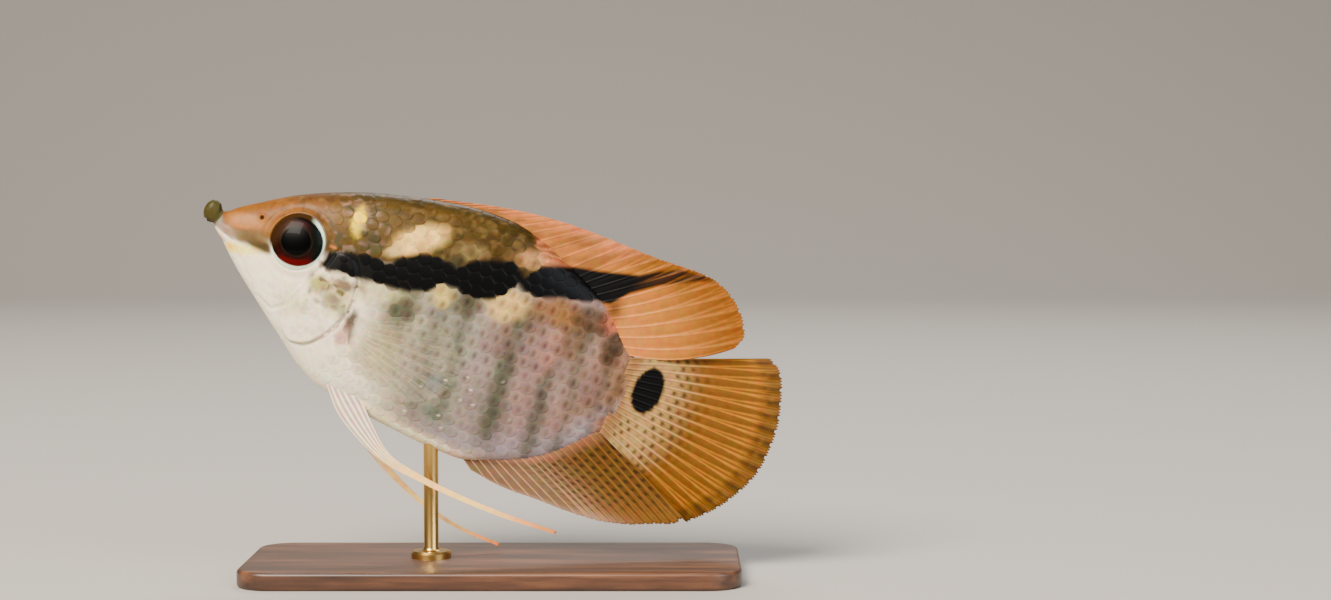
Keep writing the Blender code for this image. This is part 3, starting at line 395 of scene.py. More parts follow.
def body_colour(along, up, side):
    """The fish's markings by place: zones by height, then soft patches, bars and the black stripe."""
    places = np.stack([along * LENGTH_IN_MM, up * LENGTH_IN_MM, side / MM], axis=-1)
    grain = mottle(places, 1.7, 3) - 0.5
    broad = mottle(places * np.array([1, 1, 0.5]), 5.0, 8) - 0.5
    dark_specks = smoothstep(0.52, 0.76, mottle(places, 0.9, 21))
    pale_specks = smoothstep(0.55, 0.80, mottle(places, 0.8, 33))
    along = along + 0.006 * grain
    up = up + 0.008 * (grain + broad)
    stripe_level = np.interp(along, (0.0, 0.25, 0.45, 0.70, 1.0), (-0.005, 0.030, 0.080, 0.150, 0.200))
    back, belly = body_profile(along)[:2]
    height = up - stripe_level
    upper = mix(colour("#a9793f"), colour("#856a34"), smoothstep(0.17, 0.30, along))
    upper = mix(upper, colour("#7a602d"), smoothstep(0.40, 0.62, along))
    upper = mix(upper, colour("#5f4d2a"), 0.6 * smoothstep(0.030, 0.004, back - up))
    sheath = smoothstep(-0.004, 0.020, along - 0.652 - 0.82 * (0.280 - up))
    streaks = 0.5 + 0.5 * np.sin((up - 0.12 * along) * 2 * math.pi / 0.0115)
    upper = mix(upper, mix(colour("#b67f4e"), colour("#dda880"), streaks), sheath)
    flank = mix(colour("#eee8dc"), colour("#cbc2ae"), smoothstep(0.32, 0.45, along + 0.5 * np.minimum(up, 0)))
    flank = mix(flank, colour("#c3bbae"), smoothstep(0.44, 0.62, along))
    flank = mix(flank, colour("#c6afa8"), smoothstep(0.64, 0.82, along))
    flank = mix(flank, colour("#ba9a82"), smoothstep(0.84, 0.96, along))
    low = mix(colour("#f0ece2"), colour("#d8cfbe"), smoothstep(0.44, 0.56, along))
    low = mix(low, colour("#cdc2c4"), smoothstep(0.50, 0.66, along))
    flank = mix(flank, low, smoothstep(0.110, 0.020, up - belly))
    keel = smoothstep(0.38, 0.44, along) * smoothstep(0.80, 0.62, along)
    flank = mix(flank, colour("#fbf3e6"), 0.9 * keel * smoothstep(0.036, 0.012, up - belly))
    tone = mix(flank, upper, smoothstep(-0.006, 0.020, height))
    for bar, width, strength in BARS:
        reach = smoothstep(-0.27, -0.17, up) * smoothstep(0.19, 0.09, up) * strength
        tone = mix(tone, colour("#858070"), 1.15 * reach * bump_at(along, bar + BAR_LEAN * up, width))
    for place, level, length, tall, tilt, patch, strength in PATCHES:
        turn = math.radians(tilt)
        ahead = (along - place) * math.cos(turn) + (up - level) * math.sin(turn)
        above = (up - level) * math.cos(turn) - (along - place) * math.sin(turn)
        inside = 1 - np.hypot(ahead / length, above / tall)
        tone = mix(tone, colour(patch), strength * smoothstep(-0.40, 0.50, inside))
    gill = smoothstep(0.235, 0.270, along) * smoothstep(0.41, 0.34, along) * smoothstep(-0.11, -0.03, up)
    tone = mix(tone, colour("#867650"), 0.85 * gill * dark_specks)
    tone = mix(tone, colour("#b0959c"), 0.45 * gill * pale_specks)
    backward = smoothstep(0.0, 0.03, height) * smoothstep(0.03, 0.20, along)
    tone = mix(tone, colour("#54432a"), 0.38 * backward * dark_specks)
    tone = mix(tone, colour("#b79b6e"), 0.30 * backward * pale_specks)
    tone = tone * (1 + 0.20 * grain + 0.14 * broad)[..., None]
    return mix(tone, colour("#0a0b0b"), stripe_share(along, up))


def skin_rings():
    """Back, belly, half width, level and share along of each skin ring, closed to a pole at nose and tail."""
    nose = np.linspace(0, math.pi / 2, NOSE_RINGS + 1)[1:-1]
    tail = np.linspace(0, math.pi / 2, TAIL_RINGS + 1)[1:-1]
    along = np.concatenate([
        NOSE_JOIN - (NOSE_JOIN - NOSE_POLE) * np.cos(nose),
        np.linspace(NOSE_JOIN, HEAD_END, HEAD_RINGS, endpoint=False),
        np.linspace(HEAD_END, TAIL_JOIN, TRUNK_RINGS),
        TAIL_JOIN + (TAIL_POLE - TAIL_JOIN) * np.sin(tail),
    ])
    full = np.concatenate([np.sin(nose), np.ones(HEAD_RINGS + TRUNK_RINGS), np.cos(tail)])
    back, belly, width, level = body_profile(np.clip(along, NOSE_JOIN, TAIL_JOIN))
    pole = np.where(along < NOSE_JOIN, NOSE_LEVEL, level)
    level = pole + (level - pole) * full
    back = level + (back - level) * full
    belly = level + (belly - level) * full
    return along, back, belly, width * full, level


def skin_base():
    """The smooth body in the fish's axes, rings by points around, and the way out at each point."""
    along, back, belly, width, level = (v[:, None] for v in skin_rings())
    turn = (np.arange(AROUND) * 2 * math.pi / AROUND)[None, :]
    rise, across = np.sin(turn), np.cos(turn)
    up = level + np.where(rise > 0, back - level, level - belly) * rise
    fullness = np.where(rise > 0, BACK_FULLNESS, BELLY_FULLNESS)
    side = np.sign(across) * width * np.abs(across) ** (2 * fullness)
    points = np.stack([np.broadcast_to(along, up.shape), side, up], axis=-1) * STANDARD_LENGTH
    return points, outward(points)


def outward(points):
    """Unit normals of a grid of rings, each closed round."""
    ahead = np.gradient(points, axis=0)
    around = np.roll(points, -1, axis=1) - np.roll(points, 1, axis=1)
    normal = np.cross(around, ahead)
    return normal / np.maximum(np.linalg.norm(normal, axis=-1, keepdims=True), 1e-12)


def eye_distance(points):
    """Distance in millimetres of each point from the axis of the eye on its side."""
    best = np.full(points.shape[:-1], np.inf)
    for sign in (-1, 1):
        place, axis = on_body(*EYE_PLACE, sign)
        offset = points - place
        off_axis = np.linalg.norm(offset - (offset @ axis)[..., None] * axis, axis=-1) / MM
        best = np.minimum(best, np.where(points[..., 1] * sign > 0, off_axis, np.inf))
    return best


def lip_knob(along, up):
    """Distance from the middle of the upper lip's knob: 1 on its oval edge."""
    place, level, length, tall = LIP_KNOB
    return np.hypot((along - place) / length, (up - level) / tall)


def face_relief(points):
    """How far in metres the face stands out of the smooth body, at lips, folds, nostrils, eyes and gills."""
    along, up = points[..., 0] / STANDARD_LENGTH, points[..., 2] / STANDARD_LENGTH
    mouth = np.array(MOUTH)
    above = (up - np.interp(along, mouth[:, 0], mouth[:, 1])) * STANDARD_LENGTH / MM
    lips = 1 - smoothstep(0.026, 0.064, along)
    relief = lips * smoothstep(0.0, 0.014, along) * 0.22 * bump_at(above, 0.95, 0.60)
    relief += lips * (0.12 * bump_at(above, -0.60, 0.45) - 0.08 * bump_at(above, -1.40, 0.30))
    relief -= 0.10 * bump_at(lip_knob(along, up), 1.12, 0.10)
    middle = smoothstep(0.8, 3.4, np.abs(points[..., 1]) / MM)
    relief -= 0.32 * bump_at(above, 0.05, 0.16) * (1 - smoothstep(0.050, 0.062, along))
    relief -= 0.10 * bump_at(distance_to_line(along, up, JAW_FOLD), 0, 0.30)
    relief -= 0.10 * middle * bump_at(distance_to_line(along, up, THROAT_FOLD), 0, 0.32)
    cheek = distance_to_line(along, up, CHEEK_FOLD)
    relief += middle * (0.08 * bump_at(cheek, 0.55, 0.40) - 0.11 * bump_at(cheek, 0, 0.28))
    nostril = np.hypot(along - NOSTRIL_PLACE[0], up - NOSTRIL_PLACE[1]) * STANDARD_LENGTH / MM
    relief += 0.10 * bump_at(nostril, 0.55, 0.20) - 0.55 * bump_at(nostril, 0, 0.30)
    eye = eye_distance(points)
    relief += 0.22 * bump_at(eye, 4.98, 0.36) - 2.4 * smoothstep(4.75, 4.15, eye)
    relief -= 0.10 * bump_at(eye, 6.1, 0.35)
    cover = inside_distance(along, up, smooth_path(GILL_COVER, np.linspace(0, 1, 48, endpoint=False), True))
    rear = smoothstep(0.255, 0.300, along - 0.25 * up)
    relief += middle * (0.10 + 0.22 * rear) * smoothstep(0.0, 0.32, cover)
    relief -= middle * (0.06 + 0.16 * rear) * bump_at(cover, -0.16, 0.22)
    return relief * MM


def skin_surface(depth):
    """The dressed body's points and normals: smooth body, less the scales' depth, plus the face's relief."""
    points, normals = skin_base()
    points = points + normals * (face_relief(points) - depth)[..., None]
    return points, outward(points)


def ring_quads(rings, around):
    """Quads between rings that are each closed round."""
    index = np.arange(rings * around).reshape(rings, around)
    beside = np.roll(index, -1, axis=1)
    return np.stack([index[:-1], index[1:], beside[1:], beside[:-1]], axis=-1).reshape(-1, 4)


def mesh_object(name, points, faces, material, tone=None, clear=None):
    """A smooth mesh object, with each point's colour and opacity kept in the attribute tone."""
    mesh = bpy.data.meshes.new(name)
    mesh.from_pydata(np.asarray(points, float).tolist(), [], faces)
    if tone is not None:
        opacity = np.ones(len(tone)) if clear is None else clear
        rgba = np.concatenate([np.clip(tone, 0, 1), np.asarray(opacity)[:, None]], axis=1)
        layer = mesh.color_attributes.new("tone", "FLOAT_COLOR", "POINT")
        layer.data.foreach_set("color", rgba.ravel())
    mesh.materials.append(material)
    mesh.shade_smooth()
    mesh.update()
    obj = bpy.data.objects.new(name, mesh)
    bpy.context.scene.collection.objects.link(obj)
    return obj


def piece(obj, slot, *nodes):
    """Rides the object on the one body and lets it stand for the solid nodes."""
    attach(obj, "root")
    if nodes:
        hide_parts(*nodes)
    return obj


def add_node(tree, kind, links=(), **settings):
    """Adds a node, sets its inputs or properties, and links sources to its inputs."""
    node = tree.nodes.new(kind)
    for key, value in settings.items():
        if key in node.inputs:
            node.inputs[key].default_value = value
        else:
            setattr(node, key, value)
    for socket, source in links:
        tree.links.new(source, node.inputs[socket])
    return node


def new_material(name):
    """A material and its tree with only the output and a Principled shader."""
    material = bpy.data.materials.new(name)
    material.use_nodes = True
    return material, material.node_tree, material.node_tree.nodes["Principled BSDF"]


def speckled(tree, shader, tone, scale, amount):
    """Feeds the painted tone, times 1 + amount (noise - 0.5) in each channel, to the shader's colour."""
    place = add_node(tree, "ShaderNodeTexCoord").outputs["Object"]
    noise = add_node(tree, "ShaderNodeTexNoise", [("Vector", place)], Scale=scale, Detail=4.0)
    tint = add_node(tree, "ShaderNodeVectorMath", [(0, noise.outputs["Color"])], operation="MULTIPLY_ADD")
    tint.inputs[1].default_value = (amount,) * 3
    tint.inputs[2].default_value = (1 - amount / 2,) * 3
    both = add_node(tree, "ShaderNodeVectorMath", [(0, tint.outputs["Vector"]), (1, tone.outputs["Color"])],
                    operation="MULTIPLY")
    tree.links.new(both.outputs["Vector"], shader.inputs["Base Color"])


def noise_bump(tree, shader, scale, strength, distance):
    """A fine noise relief on Object coordinates, scale in waves per metre, distance in metres."""
    place = add_node(tree, "ShaderNodeTexCoord").outputs["Object"]
    noise = add_node(tree, "ShaderNodeTexNoise", [("Vector", place)], Scale=scale, Detail=3.0)
    height = noise.outputs["Fac"]
    bump = add_node(tree, "ShaderNodeBump", [("Height", height)], Strength=strength, Distance=distance)
    tree.links.new(bump.outputs["Normal"], shader.inputs["Normal"])


def fish_skin():
    """Living fish skin under clear slime: soft, moist, with a broad wet gloss over a matt coloured layer."""
    material, tree, shader = new_material("moist_fish_skin")
    tone = add_node(tree, "ShaderNodeVertexColor", layer_name="tone")
    speckled(tree, shader, tone, 1300, 0.7)
    shader.inputs["Roughness"].default_value = 0.48
    shader.inputs["Specular IOR Level"].default_value = 0.12
    shader.inputs["Coat Weight"].default_value = 0.05
    shader.inputs["Coat Roughness"].default_value = 0.25
    shader.inputs["Subsurface Weight"].default_value = 0.08
    shader.inputs["Subsurface Scale"].default_value = 0.0006
    shader.inputs["Subsurface Radius"].default_value = (1.0, 0.6, 0.4)
    noise_bump(tree, shader, 5200, 0.25, 0.00006)
    return material


def scale_plate():
    """Fish scale over guanine: a clear bony plate with a silvery layer below, which glints a little."""
    material, tree, shader = new_material("silvery_fish_scale")
    tone = add_node(tree, "ShaderNodeVertexColor", layer_name="tone")
    speckled(tree, shader, tone, 1500, 0.8)
    shader.inputs["Metallic"].default_value = 0.15
    shader.inputs["Roughness"].default_value = 0.42
    shader.inputs["Specular IOR Level"].default_value = 0.1
    shader.inputs["Coat Weight"].default_value = 0.04
    shader.inputs["Coat Roughness"].default_value = 0.22
    noise_bump(tree, shader, 9000, 0.2, 0.00004)
    return material


def fin_membrane(name, roughness, thin):
    """Fin membrane stretched between bony rays: thin moist tissue that lets a little light through."""
    material, tree, shader = new_material(name)
    tone = add_node(tree, "ShaderNodeVertexColor", layer_name="tone")
    speckled(tree, shader, tone, 900, 0.8)
    if thin:
        tree.links.new(tone.outputs["Alpha"], shader.inputs["Alpha"])
    shader.inputs["Roughness"].default_value = roughness
    shader.inputs["Specular IOR Level"].default_value = 0.1
    shader.inputs["Coat Weight"].default_value = 0.03
    shader.inputs["Coat Roughness"].default_value = 0.25
    shader.inputs["Subsurface Weight"].default_value = 0.12
    shader.inputs["Subsurface Scale"].default_value = 0.0008
    shader.inputs["Subsurface Radius"].default_value = (1.0, 0.55, 0.25)
    noise_bump(tree, shader, 4200, 0.2, 0.00005)
    return material


class FishSizes(bpy.types.PropertyGroup):
    """Sizes of the skin, the scales and the fins."""
    scale_depth: bpy.props.FloatProperty(
        name="Skin depth", description="How far the skin lies under the scales", default=0.00012,
        unit="LENGTH", precision=5)
    scale_spacing: bpy.props.FloatProperty(
        name="Scale spacing", description="From one flank scale to the next in its row", default=0.0023,
        unit="LENGTH", precision=5)
    row_spacing: bpy.props.FloatProperty(
        name="Row spacing", description="From one row of flank scales to the next", default=0.0020,
        unit="LENGTH", precision=5)
    scale_rise: bpy.props.FloatProperty(
        name="Scale rise", description="How far a flank scale's free edge stands up", default=0.00008,
        unit="LENGTH", precision=5)
    cheek_spacing: bpy.props.FloatProperty(
        name="Cheek scale spacing", description="From one cheek scale to the next", default=0.0015,
        unit="LENGTH", precision=5)
    membrane: bpy.props.FloatProperty(
        name="Membrane", description="Thickness of a fin between its rays", default=0.00016, unit="LENGTH",
        precision=5)


class SurfaceMap:
    """Reads the skin by share along and by distance round it from the widest level, on either side."""

    def __init__(self, depth):
        self.points, self.normals = skin_surface(depth)
        self.shares = skin_rings()[0]
        base = skin_base()[0]
        quarter = AROUND // 4
        steps = np.arange(-quarter, quarter + 1)
        walk = np.linalg.norm(np.diff(base[:, steps % AROUND], axis=1), axis=-1)
        length = np.concatenate([np.zeros((len(base), 1)), np.cumsum(walk, axis=1)], axis=1)
        length -= length[:, quarter:quarter + 1]
        self.low, self.high = length[:, 0], length[:, -1]
        self.reach, self.count = 0.030, 301
        grid = np.linspace(-self.reach, self.reach, self.count)
        self.inverse = np.array([np.interp(grid, row, steps) for row in length])

    def limits(self, along):
        """Distances round at which the side ends at the belly and at the back."""
        return np.interp(along, self.shares, self.low), np.interp(along, self.shares, self.high)

    def read(self, along, around, sign):
        """Points and normals at shares along and distances round; sign is 1 on the right, -1 on the left."""
        ring = np.interp(along, self.shares, np.arange(len(self.shares)))
        column = (np.clip(around, -self.reach, self.reach) + self.reach) / (2 * self.reach) * (self.count - 1)
        step = blend(self.inverse, ring, column, False)
        place = np.where(sign > 0, step, AROUND / 2 - step)
        points = blend(self.points, ring, place, True)
        normals = blend(self.normals, ring, place, True)
        return points, normals / np.linalg.norm(normals, axis=-1, keepdims=True)


def blend(table, row, column, closed):
    """The table read between its rows and columns, with the columns closed round if asked."""
    r0 = np.clip(np.floor(row).astype(int), 0, len(table) - 2)
    c0 = np.floor(column).astype(int)
    tr, tc = row - r0, column - c0
    width = table.shape[1]
    c1 = (c0 + 1) % width if closed else np.clip(c0 + 1, 0, width - 1)
    c0 = c0 % width if closed else np.clip(c0, 0, width - 1)
    if table.ndim == 3:
        tr, tc = tr[..., None], tc[..., None]
    low = table[r0, c0] * (1 - tc) + table[r0, c1] * tc
    high = table[r0 + 1, c0] * (1 - tc) + table[r0 + 1, c1] * tc
    return low * (1 - tr) + high * tr


def trunk_front(up):
    """Share along where the flank's scales begin at each height, behind throat, gill cover and nape."""
    levels = (-0.25, -0.20, -0.14, -0.06, 0.02, 0.07, 0.13, 0.20)
    return np.interp(up, levels, (0.31, 0.31, 0.345, 0.372, 0.376, 0.325, 0.235, 0.200))


def trunk_covered(along, up):
    """True where flank scales grow."""
    return (along > trunk_front(up)) & (along < 1.028)


def cheek_covered(along, up):
    """True where the small head scales grow: on the cheek and the gill cover, clear of the eye."""
    cover = inside_distance(along, up, GILL_COVER)
    eye = np.hypot(along - EYE_PLACE[0], up - EYE_PLACE[1]) * STANDARD_LENGTH / MM
    cheek = (along > 0.150) & (along < 0.232) & (up < -0.052) & (up > -0.100 - 0.35 * (along - 0.15))
    return ((cover > 0.75) | cheek) & (eye > 6.6)


def lattice(surface, spacing, rows, covered, sign, seed):
    """Centres of staggered scales as shares along and distances round, with a little seeded disorder."""
    random = np.random.default_rng(seed)
    along = np.arange(0.14, 1.03, spacing / STANDARD_LENGTH)
    around = np.arange(-0.029, 0.029, rows)
    along, around = np.meshgrid(along, around)
    along = along + (np.arange(len(around)) % 2)[:, None] * spacing / 2 / STANDARD_LENGTH
    along = along + random.normal(0, 0.03, along.shape) * spacing / STANDARD_LENGTH
    around = around + random.normal(0, 0.03, along.shape) * rows
    along, around = along.ravel(), around.ravel()
    low, high = surface.limits(along)
    points, _ = surface.read(along, around, sign)
    keep = (around > low + 0.25 * rows) & (around < high - 0.25 * rows)
    keep &= covered(points[:, 0] / STANDARD_LENGTH, points[:, 2] / STANDARD_LENGTH)
    return along[keep], around[keep]


def scale_coat(name, surface, spacing, rows, rise, covered, sign, seed, dots):
    """One side's scales. Each is a leaf, a and b from -1 to 1, tilted up to its free edge at a = 1.

    Its half width is sqrt(1 - a^2.2) towards the free edge and 1 - 0.20 a^2 towards the root. Its height over
    the skin is rise ((a + 1) / 2 - 0.35 b^2 - 0.35), and the rim turns down into the skin.
    """
    random = np.random.default_rng(seed + 50)
    along, around = lattice(surface, spacing, rows, covered, sign, seed)
    a = np.array([-1.0, -0.6, -0.2, 0.15, 0.45, 0.70, 0.87, 0.97, 1.0])
    b = np.array([-1.0, -0.92, -0.65, -0.33, 0.0, 0.33, 0.65, 0.92, 1.0])
    grid_a, grid_b = np.meshgrid(a, b, indexing="ij")
    half = np.where(grid_a > 0, np.sqrt(np.clip(1 - np.abs(grid_a) ** 2.2, 0.02, 1)), 1 - 0.20 * grid_a**2)
    rim = (np.abs(grid_b) == 1) | (grid_a == 1)
    growth = np.interp(along, *SCALE_GROWTH)[:, None, None]
    size = random.normal(1, 0.03, (len(along), 1, 1)) * growth
    length, width = 0.92 * spacing * size, 0.66 * rows * size
    height = rise * (grid_a + 1) / 2 - 0.35 * rise * grid_b**2 - 0.35 * rise
    height = height[None] * random.normal(1, 0.08, (len(along), 1, 1))
    height = height * scale_relief(along, surface.read(along, around, sign)[0])
    height = np.where(rim[None], -0.2 * rise, height)
    here_along = along[:, None, None] + grid_a[None] * length / STANDARD_LENGTH
    here_around = around[:, None, None] + (grid_b * half)[None] * width
    points, normals = surface.read(here_along, here_around, sign)
    shares = points[..., (0, 2)] / STANDARD_LENGTH
    centre = shares[:, 4:5, 4:5]
    mixed = 0.72 * shares + 0.28 * centre
    tone = body_colour(mixed[..., 0], mixed[..., 1], points[..., 1])
    tone = scale_shading(tone, shares, grid_a[None], grid_b[None], random, dots)
    points = to_row(points + normals * height[..., None])
    count, rows_a, rows_b = len(along), len(a), len(b)
    index = np.arange(count * rows_a * rows_b).reshape(count, rows_a, rows_b)
    quads = np.stack([index[:, :-1, :-1], index[:, 1:, :-1], index[:, 1:, 1:], index[:, :-1, 1:]], axis=-1)
    quads = quads if sign < 0 else quads[..., ::-1]
    obj = mesh_object(name, points.reshape(-1, 3), quads.reshape(-1, 4).tolist(),
                      bpy.data.materials["silvery_fish_scale"], tone.reshape(-1, 3))
    bake_map(obj, along, around, sign, grid_a, grid_b, quads)
    return obj


def scale_relief(along, points):
    """How far each scale stands up, 0.3 to 1: the flank's foremost scales lie nearly flush in the skin."""
    behind = along - trunk_front(points[:, 2] / STANDARD_LENGTH)
    relief = np.where(behind < 0, 0.7, 0.3 + 0.7 * smoothstep(0.0, 0.07, behind))
    return relief[:, None, None]


def bake_map(obj, along, around, sign, grid_a, grid_b, quads):
    """Writes the OFBake map: each scale is a patch 0.003 across at its root's place on the unrolled skin."""
    place_u = 0.04 + 0.92 * along
    place_v = 0.5 + sign * (0.25 + 0.22 * around / 0.030)
    u = place_u[:, None, None] + 0.0015 * grid_a[None]
    v = place_v[:, None, None] + 0.0015 * grid_b[None]
    uv = np.stack([u, v], axis=-1).reshape(-1, 2)
    layer = obj.data.uv_layers.new(name="OFBake")
    layer.data.foreach_set("uv", uv[quads.reshape(-1)].ravel())


def scale_shading(tone, shares, a, b, random, dots):
    """Each scale's own shading: a dark dot towards its free edge, its own tint, and on some scales a painted
    highlight, a small white glint.
    """
    along, up = shares[..., 0], shares[..., 1]
    black = stripe_share(along, up)
    flank = smoothstep(0.40, 0.52, along) * smoothstep(0.20, 0.10, up - 0.25 * (along - 0.5))
    low = smoothstep(0.010, 0.060, up - body_profile(along)[1])
    amount = dots * (0.26 + 0.52 * flank * smoothstep(-0.26, -0.04, up)) * (1 - black) * (0.25 + 0.75 * low)
    amount = amount * random.uniform(0.6, 1.15, (len(tone), 1, 1))
    dot = smoothstep(1.55, 0.15, np.hypot((a - 0.40) / 0.23, b / 0.62))
    tone = mix(tone, tone * np.array([0.27, 0.23, 0.22]), amount * dot)
    hue = random.normal(0, 1, (len(tone), 1, 1, 3)) * np.array([0.030, 0.018, 0.034])
    bright = random.normal(0, 0.06, (len(tone), 1, 1, 1))
    tone = tone * (1 + (hue + bright) * (1 - black)[..., None])
    # Painted highlight: some scales near the middle of the flank get a small white glint painted into their
    # colour.
    painted_glint_scales = random.random((len(tone), 1, 1)) < 0.45 * bump_at(along, 0.67, 0.08) * bump_at(up, -0.12, 0.07)
    aside = random.uniform(-0.35, 0.35, (len(tone), 1, 1))
    glint = np.exp(-((a - 0.62) / 0.10) ** 2 - ((b - aside) / 0.12) ** 2)
    return mix(tone, colour("#fbf6f0"), 0.8 * painted_glint_scales * glint)


def build_skin():
    """The one skin, head to tail stem, closed at nose and tail."""
    depth = bpy.context.scene.flag_cichlid.scale_depth
    points, _ = skin_surface(depth)
    rings, around = points.shape[:2]
    nose = points[0].mean(axis=0) - np.array([0.00002, 0, 0])
    tail = points[-1].mean(axis=0) + np.array([0.00002, 0, 0])
    flat = np.vstack([points.reshape(-1, 3), nose, tail])
    faces = ring_quads(rings, around).tolist()
    last = rings * around
    start = (rings - 1) * around
    faces += [[last, i, (i + 1) % around] for i in range(around)]
    faces += [[last + 1, start + (i + 1) % around, start + i] for i in range(around)]
    along, up = flat[:, 0] / STANDARD_LENGTH, flat[:, 2] / STANDARD_LENGTH
    tone = face_colour(flat, body_colour(along, up, flat[:, 1]))
    obj = mesh_object("skin", to_row(flat), faces, fish_skin(), tone)
    return piece(obj, "skin_flank", "head", "lower_jaw", "gill_cover_left", "gill_cover_right", "torso",
                 "tail_stem")


def face_colour(points, tone):
    """The face's colours over the markings: lips, yellow jaw, mouth line, nostril, eye rim, gill edge; with
    painted light and shade: a highlight below the lip, shade in the mouth line, the nostril and the eye
    socket, and a shadow under the gill cover's edge.
    """
    along, up = points[:, 0] / STANDARD_LENGTH, points[:, 2] / STANDARD_LENGTH
    mouth = np.array(MOUTH)
    above = (up - np.interp(along, mouth[:, 0], mouth[:, 1])) * STANDARD_LENGTH / MM
    aside = smoothstep(0.3, 1.2, np.abs(points[:, 1]) / MM)
    corner = np.hypot((along - 0.078) / 0.046, (up - 0.19 * (along - 0.078) + 0.024) / 0.013)
    yellow = smoothstep(1.5, 0.2, corner)
    tone = mix(tone, colour("#f4e98a"), 0.8 * aside * yellow)
    tone = mix(tone, colour("#f2de3c"), 0.9 * aside * bump_at(np.hypot(along - 0.056, up + 0.026), 0, 0.011))
    lips = 1 - smoothstep(0.020, 0.050, along)
    fore = 1 - smoothstep(0.040, 0.062, along)
    tone = mix(tone, colour("#c3a994"), 0.8 * fore * bump_at(above, 0.75, 0.65))
    # Painted highlight: a small grey-blue light spot below the upper lip's knob.
    tone = mix(tone, colour("#b4b6aa"), 0.8 * bump_at(np.hypot(along - 0.008, up - 0.017), 0, 0.009))
    tone = mix(tone, colour("#746a3c"), 0.95 * smoothstep(1.14, 0.90, lip_knob(along, up)))
    tone = mix(tone, colour("#efe0c8"), 0.8 * lips * smoothstep(0.0, -0.5, above))
    # Painted shade: the groove of the mouth between the lips is darkened.
    line = 0.5 * bump_at(above, 0.05, 0.16) * (1 - smoothstep(0.050, 0.062, along))
    tone = mix(tone, colour("#5a4430"), line)
    nostril = np.hypot(along - NOSTRIL_PLACE[0], up - NOSTRIL_PLACE[1]) * STANDARD_LENGTH / MM
    # Painted shade: the nostril's pit is darkened.
    tone = mix(tone, colour("#2b1d12"), 0.85 * smoothstep(0.48, 0.22, nostril))
    eye = eye_distance(points)
    rise = (up - EYE_PLACE[1]) * STANDARD_LENGTH / MM
    ahead = (along - EYE_PLACE[0]) * STANDARD_LENGTH / MM
    rim = bump_at(eye, 4.66, 0.18)
    tone = mix(tone, colour("#a97c44"), 0.8 * rim * smoothstep(0.0, 3.5, rise - 0.4 * ahead))
    tone = mix(tone, colour("#bcd3cf"), 0.9 * rim * smoothstep(1.5, 3.5, ahead + 0.25 * rise))
    tone = mix(tone, colour("#efe6da"), 0.9 * rim * smoothstep(1.0, 3.5, -rise))
    # Painted shade: a dark ring on the skin sunk in the eye socket, under the eyeball's edge.
    tone = mix(tone, colour("#3a2818"), 0.6 * bump_at(eye, 4.45, 0.25))
    # Painted shadow: the skin just outside the gill cover's rear edge is darkened, as under its overhang.
    cover = inside_distance(along, up, GILL_COVER)
    rear = smoothstep(0.255, 0.300, along - 0.25 * up)
    return mix(tone, tone * colour("#9a8676"), 0.30 * rear * bump_at(cover, -0.25, 0.28))


def fin_sheet(name, middle, half, material, tone, clear=None):
    """A closed thin fin: a grid of middle points moved to both sides by half, and the rim between."""
    apart = np.array([0.0, 1.0, 0.0]) * half[..., None]
    columns, rows = half.shape
    near = np.arange(columns * rows).reshape(columns, rows)
    far = near + columns * rows
    quads = np.stack([near[:-1, :-1], near[1:, :-1], near[1:, 1:], near[:-1, 1:]], axis=-1).reshape(-1, 4)
    back = np.stack([far[:-1, :-1], far[:-1, 1:], far[1:, 1:], far[1:, :-1]], axis=-1).reshape(-1, 4)
    rim = np.concatenate([near[:, 0], near[-1, 1:], near[-2::-1, -1], near[0, -2:0:-1]])
    after = np.roll(rim, -1)
    edge = np.stack([rim, rim + columns * rows, after + columns * rows, after], axis=-1)
    points = np.vstack([(middle + apart).reshape(-1, 3), (middle - apart).reshape(-1, 3)])
    tones = np.vstack([tone.reshape(-1, 3)] * 2)
    clears = None if clear is None else np.concatenate([clear.ravel()] * 2)
    obj = mesh_object(name, to_row(points), np.vstack([quads, back, edge]).tolist(), material, tones, clears)
    flip_if_inside_out(obj)
    return obj


def flip_if_inside_out(obj):
    """Turns a closed mesh round if its volume comes out negative."""
    mesh = obj.data
    mesh.calc_loop_triangles()
    corners = np.empty(len(mesh.loop_triangles) * 3, int)
    mesh.loop_triangles.foreach_get("vertices", corners)
    places = np.empty(len(mesh.vertices) * 3)
    mesh.vertices.foreach_get("co", places)
    triangles = places.reshape(-1, 3)[corners.reshape(-1, 3)]
    if np.linalg.det(triangles - places.reshape(-1, 3).mean(axis=0)).sum() < 0:
        mesh.flip_normals()


def ray_pattern(place, v, spacing, soft, width):
    """How near each point is to a bony ray, 0 to 1, and which ray. Soft rays fork twice towards the edge.

    place counts rays across the fin, v runs 0 at the root to 1 at the tip, spacing and width are in metres.
    """
    nearest = np.round(place)
    offset = place - nearest
    first = 0.21 * soft * smoothstep(0.38, 0.95, v)
    second = 0.10 * soft * smoothstep(0.68, 1.0, v)
    broad = np.clip(width / np.maximum(spacing, 1e-5), 0.03, 0.30)
    near = 0
    for one in (-1, 1):
        for two in (-1, 1):
            near = np.maximum(near, bump_at(offset, one * first + two * second, broad))
    return near, nearest


